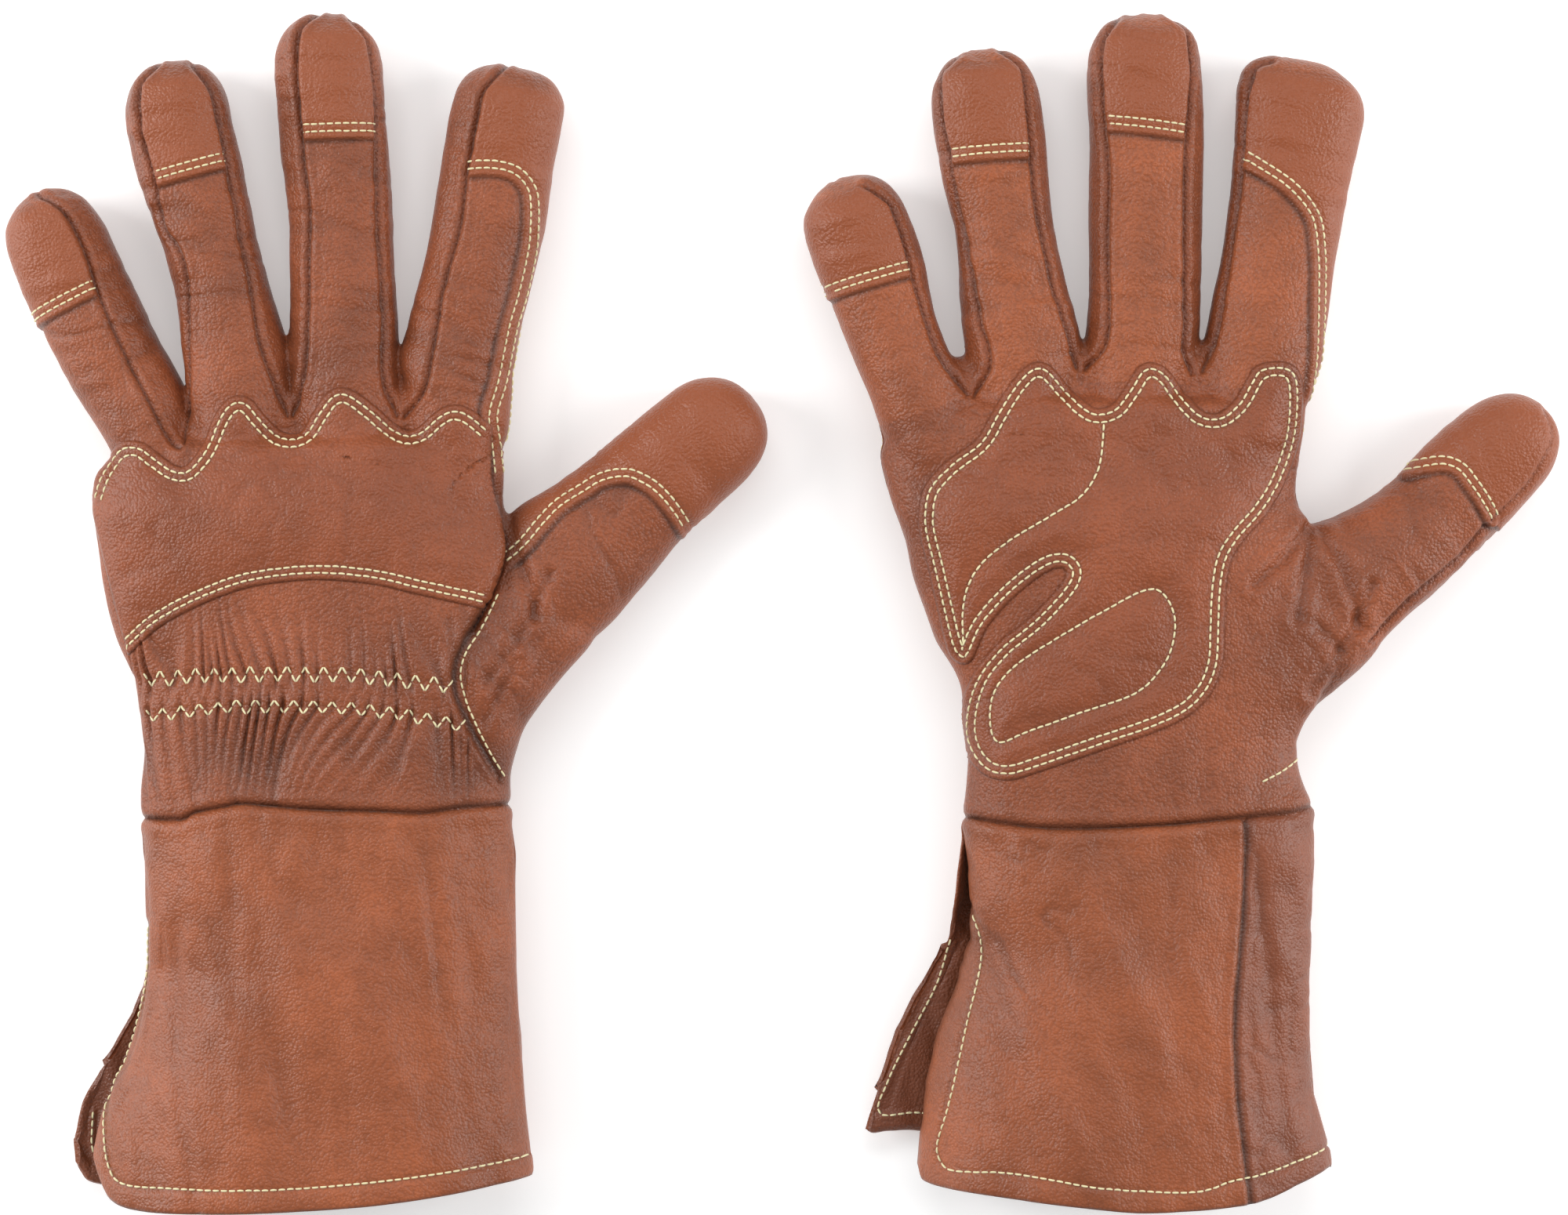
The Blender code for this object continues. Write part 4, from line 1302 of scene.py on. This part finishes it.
def with_skirt(co, faces, low):
    """The patch's points and triangles, with a wall from its edge down to the low points."""
    border = border_loop(faces)
    rim = np.unique(border)
    sunk = np.full(len(co), -1, np.int64)
    sunk[rim] = len(co) + np.arange(len(rim))
    walls = np.vstack([np.column_stack([border[:, 1], border[:, 0], sunk[border[:, 0]]]),
                       np.column_stack([border[:, 1], sunk[border[:, 0]], sunk[border[:, 1]]])])
    return np.vstack([co, low[rim]]), np.vstack([faces, walls]), len(rim)


def build_patch(glove, skin, face, name, outline, rows):
    """A second layer of leather, padded between its rows of stitches, laid on one side of the hand."""
    edge = resample(outline, PATCH_STEP, closed=True)
    plan, faces = fill_outline(edge, PATCH_STEP)
    spots, normals = skin.surface.drop(plan, face)
    x, y = plan[:, 0], plan[:, 1]
    to_edge = line_distance(x, y, closed_ring(edge), 9.0)
    to_row = np.min([line_distance(x, y, row, 9.0) for row in rows], axis=0)
    seed, pad = PATCHES[name]
    wrinkle = creases(x / 17, y / 12, seed + 4)
    height = patch_height(x, y, to_edge, to_row, wrinkle, seed, pad) * (1.0 if face == "top" else 0.45)
    upright = np.array([0.0, 0.0, 1.0 if face == "top" else -1.0])
    way = normals * 0.7 + upright * 0.3
    way /= np.linalg.norm(way, axis=1)[:, None]
    level = smooth_values(spots, edges_of(faces), len(x), 3)
    level[to_edge < 0.4] = spots[to_edge < 0.4]
    points, triangles, walls = with_skirt(level + way * height[:, None], faces, spots - way)
    if face == "bottom":
        triangles = triangles[:, ::-1]
    # Painted shade at the patch's rolled edge, along its rows and in its wrinkles, and darker still on the
    # wall down its edge.
    crease = np.clip(0.5 * dome(to_edge, 0.5) + 0.35 * dome(to_row, 0.6) + 0.15 * wrinkle, 0, 1)
    layers = {"crease": np.concatenate([crease, np.full(walls, 0.9)]), "tone": np.full(len(points), 0.35)}
    piece = make_piece(glove, f"{name}_leather", points, triangles, "patch_leather", layers=layers)
    attach(piece, glove, "hand")
    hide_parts(f"{glove.side}_{name}")
    return Surface(points, triangles)


def knuckle_design(glove):
    top = drawn(KNUCKLE_TOP, "left", glove)
    bottom = drawn(KNUCKLE_BOTTOM, "left", glove)
    rows = [top, offset_line(top, -ROW_GAP), bottom, offset_line(bottom, 1.9)]
    side = drawn(KNUCKLE_SIDE, "left", glove)
    outline = np.vstack([offset_line(top, 2.0), side, offset_line(bottom, 3.9)])
    return outline, rows


def palm_design(glove):
    outer = drawn(PALM_OUTLINE, "right", glove, closed=True)
    way = -1.0 if turning(outer) < 0 else 1.0
    inner = offset_line(outer, way * ROW_GAP, closed=True)
    line = drawn(PALM_LINE, "right", glove)
    loop = drawn(PALM_LOOP, "right", glove, closed=True)
    rows = [closed_ring(outer), closed_ring(inner), line, closed_ring(loop)]
    return offset_line(outer, -way * 1.9, closed=True), rows


def turning(ring):
    """Positive for a ring that runs anticlockwise."""
    nxt = np.roll(ring, -1, axis=0)
    return (ring[:, 0] * nxt[:, 1] - nxt[:, 0] * ring[:, 1]).sum()


def untangle(ring):
    """Drops the small loops that offsetting makes in tight corners, where two points of the ring meet."""
    keep = np.ones(len(ring), bool)
    for i in range(len(ring)):
        for j in range(2, 14):
            if np.hypot(*(ring[i] - ring[(i + j) % len(ring)])) < min(0.44 * j, 0.7):
                keep[(i + np.arange(1, j)) % len(ring)] = False
    return ring[keep]


def sew_hand(glove, skin, thread, brown):
    """Every row of stitches on the hand, its patches and the fingers."""
    for face in ("top", "bottom"):
        design = glove.faces[face]
        if design == "back":
            (outline, rows), name = knuckle_design(glove), "knuckle_patch"
            side = drawn(THUMB_FOLD_STITCHES, "left", glove)
        else:
            (outline, rows), name = palm_design(glove), "palm_patch"
            side = drawn(THUMB_WRIST_STITCHES, "right", glove)
        patch = build_patch(glove, skin, face, name, untangle(outline), rows)
        for row in rows:
            thread.sew(patch, row, face, "hand")
        thread.sew(skin.surface, side, face, hand_zone)
        for finger in glove.fingers.values():
            sew_finger(finger, skin, face, design, thread, brown)


def sew_finger(finger, skin, face, design, thread, brown):
    line, _ = overlay_area(finger, design)
    way = overlay_side(finger, design, line)
    for row in (line, offset_line(line, way * ROW_GAP)):
        thread.sew(skin.surface, row, face, finger_zone(finger))
    for seam in FINGER_SEAMS[design][finger.name]:
        path = smooth_line(finger_line(finger, design, seam), LINE_STEP)
        brown.sew(skin.surface, path, face, finger_zone(finger), pitch=2.5, share=0.4, radius=0.14,
                  lean=0.4, sunk=0.1)


def overlay_side(finger, design, line):
    """Which side of its edging row a fingertip's second layer is on."""
    _, area = overlay_area(finger, design)
    probe = offset_line(line, 1.0)[len(line) // 2]
    return 1.0 if inside(probe[:1], probe[1:], area)[0] else -1.0


def build_elastic(glove, skin):
    """The two zigzag rows that hold the gathered wrist."""
    face = "bottom" if glove.palm_up else "top"
    yarn_rows = Thread(glove)
    for row in ELASTIC_ROWS:
        line = smooth_line(row["top"], LINE_STEP)
        count = 2 * row["teeth"]
        crest = resample(line, 1.0)
        at = np.linspace(0, len(crest) - 1, count + 1)
        x = np.interp(at, np.arange(len(crest)), crest[:, 0])
        y = np.interp(at, np.arange(len(crest)), crest[:, 1])
        y = y - row["depth"] * (np.arange(count + 1) % 2) + 0.35 * noise(np.arange(count + 1) * 0.9, y, 3)
        corners = carry(np.column_stack([x, y]), "left", glove.side)
        for a, b in zip(corners, corners[1:]):
            leg = np.linalg.norm(b - a)
            yarn_rows.sew(skin.surface, np.array([a, b]), face, "hand", pitch=leg / 2, share=0.86, radius=0.3)
    for piece in yarn_rows.make("wrist_elastic_zigzag", "elastic"):
        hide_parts(f"{glove.side}_wrist_elastic")


class CuffSheet:
    """Half of a gauntlet cuff: a leather sheet from the thumb-side fold to the edge beside the slit."""

    def __init__(self, glove, which):
        self.glove, self.which = glove, which
        self.upper = which == "upper"
        self.nt, self.nv = int(CUFF_AROUND / CUFF_STEP), int(CUFF_DOWN / CUFF_STEP)
        self.t, self.v = np.meshgrid(np.linspace(0, 1, self.nt), np.linspace(0, 1, self.nv))
        self.lay_out()
        self.shape()

    def lay_out(self):
        """Curves the sheet over the arm: t runs from the slit's side to the thumb's, v from wrist to hem."""
        side, t, v = self.glove.side, self.t, self.v
        rows = np.array(CUFFS[side], float)
        wrist, hem = smooth_line(WRIST_LINE[side]), smooth_line(HEM_LINE[side, self.which])
        reach, rise = oval(math.pi * (1 - t), 2.35)
        y = -v * 100.0
        for _ in range(8):
            left = np.interp(-y, rows[:, 0], rows[:, 1 if self.upper else 2])
            right = np.interp(-y, rows[:, 0], rows[:, 3])
            x = (left + right) / 2 + (right - left) / 2 * reach
            top, low = follow(wrist, x), follow(hem, x)
            y = top + v * (low - top)
        self.x, self.y, self.top, self.low, self.left = x, y, top, low, left
        self.slit = ramp(-y, SLIT_FROM[side] - 4, SLIT_FROM[side] + 18)
        middle = 17.5 + 3.0 * v
        near_left = np.clip(1 - (x - left) / 45.0, 0, 1)
        if self.upper:
            z = middle + (34.6 + 7.2 * v - middle) * rise
            z -= self.slit * 7.5 * near_left ** 2
        else:
            z = middle - (middle - (0.9 + 0.3 * v)) * rise
            z -= self.slit * (z - 2.4 - 4.0 * near_left) * near_left ** 0.8 * 0.92
        self.z = z

    def shape(self):
        """Waves, folds and seams, as one push along the sheet's normals."""
        self.lift, self.crease, self.tone = (np.zeros_like(self.x) for _ in range(3))
        self.row = smooth_line(HEM_ROWS[self.glove.side, self.which], LINE_STEP)
        self.wave()
        self.edge()
        if self.glove.side == "right" and self.upper:
            self.side_strip()
        co = np.stack([self.x, self.y, self.z], axis=-1)
        self.outer = co + self.grid_normals(co) * self.lift[..., None]
        self.normals = self.grid_normals(self.outer)
        self.crease = np.clip(self.crease, 0, 1)

    def away_from(self, line, reach):
        return line_distance(self.x.ravel(), self.y.ravel(), line, reach).reshape(self.x.shape)

    def wave(self):
        """Broad waves and folds, puckers under the wrist's seam, and slack leather beside the slit."""
        x, y, t = self.x, self.y, self.t
        right = self.glove.side == "right"
        seed = (93 if right else 71) + (0 if self.upper else 400)
        below = self.top - y
        self.lift += 2.2 * fractal(x / 19 + y / 60, y / 85, seed) * ramp(below, 0, 16)
        self.lift += 0.6 * fractal(x / 9, y / 50, seed + 2) * ramp(below, 0, 10)
        self.lift += 0.3 * fractal(x / 6 + y / 8, y / 9 - x / 12, seed + 4)
        folds = creases(x / 20 + y / 140, y / 75, seed + 6)
        self.lift -= 0.9 * folds * ramp(below, 4, 25)
        # Painted shade in the cuff's folds.
        self.crease += 0.16 * folds
        self.lift *= ramp(1 - t, 0.0, 0.07) * (1 - (1 - self.slit) * (1 - ramp(t, 0.0, 0.07)))
        self.lift += 0.55 * dome(y + 8, 8) * noise(x / 4.2, y / 16, seed + 8)
        web = creases((x + y * 0.6) / 8, (y - x * 0.6) / 20, seed + 12)
        slack = np.exp(-((x + 36) / 17) ** 2 - ((y + 30) / 24) ** 2) * (1.0 if right else 0.25)
        self.lift -= 0.9 * web * slack
        # Painted shade in the slack wrinkles beside the slit.
        self.crease += 0.45 * web * slack

    def edge(self):
        """The wrist's seam, and the folded hem with its row of stitches, which goes on up beside the slit."""
        below = self.top - self.y
        self.lift -= 1.3 * dome(below, 1.0) - 0.35 * dome(below - 3.2, 1.8)
        # Painted shade along the wrist seam.
        self.crease += 0.8 * dome(below, 0.7)
        beside = np.where(self.slit > 0.05, self.x - self.left, 60.0)
        free = np.minimum(self.y - self.low, beside)
        to_row = self.away_from(self.row, 6.0)
        self.lift += 0.4 * ramp(-free, -6.2, -4.4) - 0.4 * dome(to_row, 0.7)
        # Painted shade along the hem's row of stitches.
        self.crease += 0.3 * dome(to_row, 0.6)
        self.lift -= 0.45 * dome(free, 0.7)
        # Painted shade along the sheet's free edge.
        self.crease += 0.4 * dome(free, 0.5)

    def side_strip(self):
        """The darker strip past the side seam of the right glove's upper sheet."""
        path = smooth_line(SIDE_SEAM, LINE_STEP)
        to_seam = self.away_from(path, 8.0)
        self.lift += 0.45 * dome(to_seam - 1.7, 1.1) - 0.95 * dome(to_seam, 0.8)
        # Painted shade along the side seam.
        self.crease += 0.95 * dome(to_seam, 0.8)
        beyond = self.x > np.interp(-self.y, -path[:, 1], path[:, 0])
        self.tone -= 1.0 * beyond
        wavy = creases(self.x / 9, self.y / 12, 93 + 16)
        self.lift -= 0.35 * wavy * beyond
        # Painted shade in the strip's wrinkles.
        self.crease += 0.2 * wavy * beyond

    def grid_normals(self, co):
        dt = np.gradient(co, axis=1)
        dv = np.gradient(co, axis=0)
        n = np.cross(dv, dt)
        n /= np.linalg.norm(n, axis=2)[..., None] + 1e-12
        facing = n[..., 2].sum()
        want = 1.0 if self.upper else -1.0
        return n * (1.0 if facing * want > 0 else -1.0)

    def build(self):
        nt, nv = self.nt, self.nv
        n = nt * nv
        edge = np.minimum(np.minimum(self.t, 1 - self.t) * nt, np.minimum(self.v, 1 - self.v) * nv)
        thick = CUFF_LEATHER * (0.55 + 0.45 * ramp(edge, 0, 2))
        thick = thick * (1 + 0.7 * ramp(-(self.y - self.low), -6, -4.5))
        inner = self.outer - self.normals * thick[..., None]
        co = np.vstack([self.outer.reshape(-1, 3), inner.reshape(-1, 3)])
        index = np.arange(n).reshape(nv, nt)
        quads = np.column_stack([index[:-1, :-1].ravel(), index[:-1, 1:].ravel(), index[1:, 1:].ravel(),
                                 index[1:, :-1].ravel()])
        loop = np.concatenate([index[0, :], index[1:, -1], index[-1, -2::-1], index[-2:0:-1, 0]])
        rim = np.column_stack([loop, np.roll(loop, -1), np.roll(loop, -1) + n, loop + n])
        faces = np.vstack([quads[:, ::-1], quads + n, rim])
        if not self.upper:
            faces = faces[:, ::-1]
        # The inner face is painted darker all over: painted shade inside the cuff.
        crease = np.concatenate([self.crease.ravel(), np.full(n, 0.45)])
        tone = np.concatenate([self.tone.ravel(), np.full(n, -0.8)])
        side, design = self.glove.side, self.glove.faces["top" if self.upper else "bottom"]
        layers = {"crease": crease, "tone": tone}
        piece = make_piece(self.glove, f"cuff_{design}_sheet", co, faces, "cuff_leather", layers=layers)
        attach(piece, self.glove, "cuff")
        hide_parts(f"{side}_cuff_{design}")
        return Surface(co, faces)


def build_cuff(glove, thread):
    for which in ("upper", "lower"):
        sheet = CuffSheet(glove, which)
        surface = sheet.build()
        face = "top" if which == "upper" else "bottom"
        thread.sew(surface, sheet.row, face, "cuff")
        if which == "lower":
            seen = sheet.row[sheet.row[:, 0] < -52]
            thread.sew(surface, seen, "top", "cuff")


WORLD_LIGHT = 0.5
LAMPS = (
    ("left_box", (-1.15, 0.25, 0.62), (0.5, 1.2), 14.0),
    ("right_box", (1.15, 0.1, 0.6), (0.5, 1.2), 12.0),
    ("top_box", (0.0, 0.9, 1.2), (1.2, 0.5), 6.0),
)
CAMERA_HEIGHT = 1.222
LENS, SENSOR = 100, 36
FLOOR_SIZE, FLOOR_LEVEL = 12, -0.0008


def add_floor(middle):
    bpy.ops.mesh.primitive_plane_add(size=FLOOR_SIZE, location=(middle[0], middle[1], FLOOR_LEVEL))
    floor = bpy.context.active_object
    floor.name = "studio_floor"
    floor.data.materials.append(Look("studio_white").finish({
        "Base Color": (0.93, 0.93, 0.93, 1),
        "Emission Color": (1, 1, 1, 1),
        "Emission Strength": 0.25,
        "Roughness": 0.9,
        "Specular IOR Level": 0.1,
    }))


def add_lights(middle):
    world = bpy.data.worlds.new("studio")
    bpy.context.scene.world = world
    world.use_nodes = True
    world.node_tree.nodes["Background"].inputs["Color"].default_value = (1, 1, 1, 1)
    world.node_tree.nodes["Background"].inputs["Strength"].default_value = WORLD_LIGHT
    for name, place, size, power in LAMPS:
        data = bpy.data.lights.new(name, "AREA")
        data.shape = "RECTANGLE"
        data.size, data.size_y = size
        data.energy = power
        lamp = bpy.data.objects.new(name, data)
        lamp.location = place
        lamp.rotation_euler = (Vector(middle) - Vector(place)).to_track_quat("-Z", "Y").to_euler()
        bpy.context.scene.collection.objects.link(lamp)


def add_camera(middle):
    data = bpy.data.cameras.new("camera")
    data.lens = LENS
    data.sensor_width = SENSOR
    camera = bpy.data.objects.new("camera", data)
    camera.location = (middle[0], middle[1], middle[2] + CAMERA_HEIGHT)
    bpy.context.scene.collection.objects.link(camera)
    bpy.context.scene.camera = camera
    bpy.context.scene.view_settings.view_transform = "Standard"
    bpy.context.scene.view_settings.look = "None"


def studio():
    """A white floor, broad soft light from above and a camera looking straight down."""
    low, high = CAD_BOX
    middle = [(a + b) / 2 for a, b in zip(low, high)]
    add_floor(middle)
    add_lights(middle)
    add_camera(middle)


for glove in GLOVES.values():
    skin = build_skin(glove)
    thread, brown = Thread(glove), Thread(glove)
    sew_hand(glove, skin, thread, brown)
    build_elastic(glove, skin)
    build_cuff(glove, thread)
    thread.make()
    brown.make("seam_stitches", finish="brown_thread")
studio()
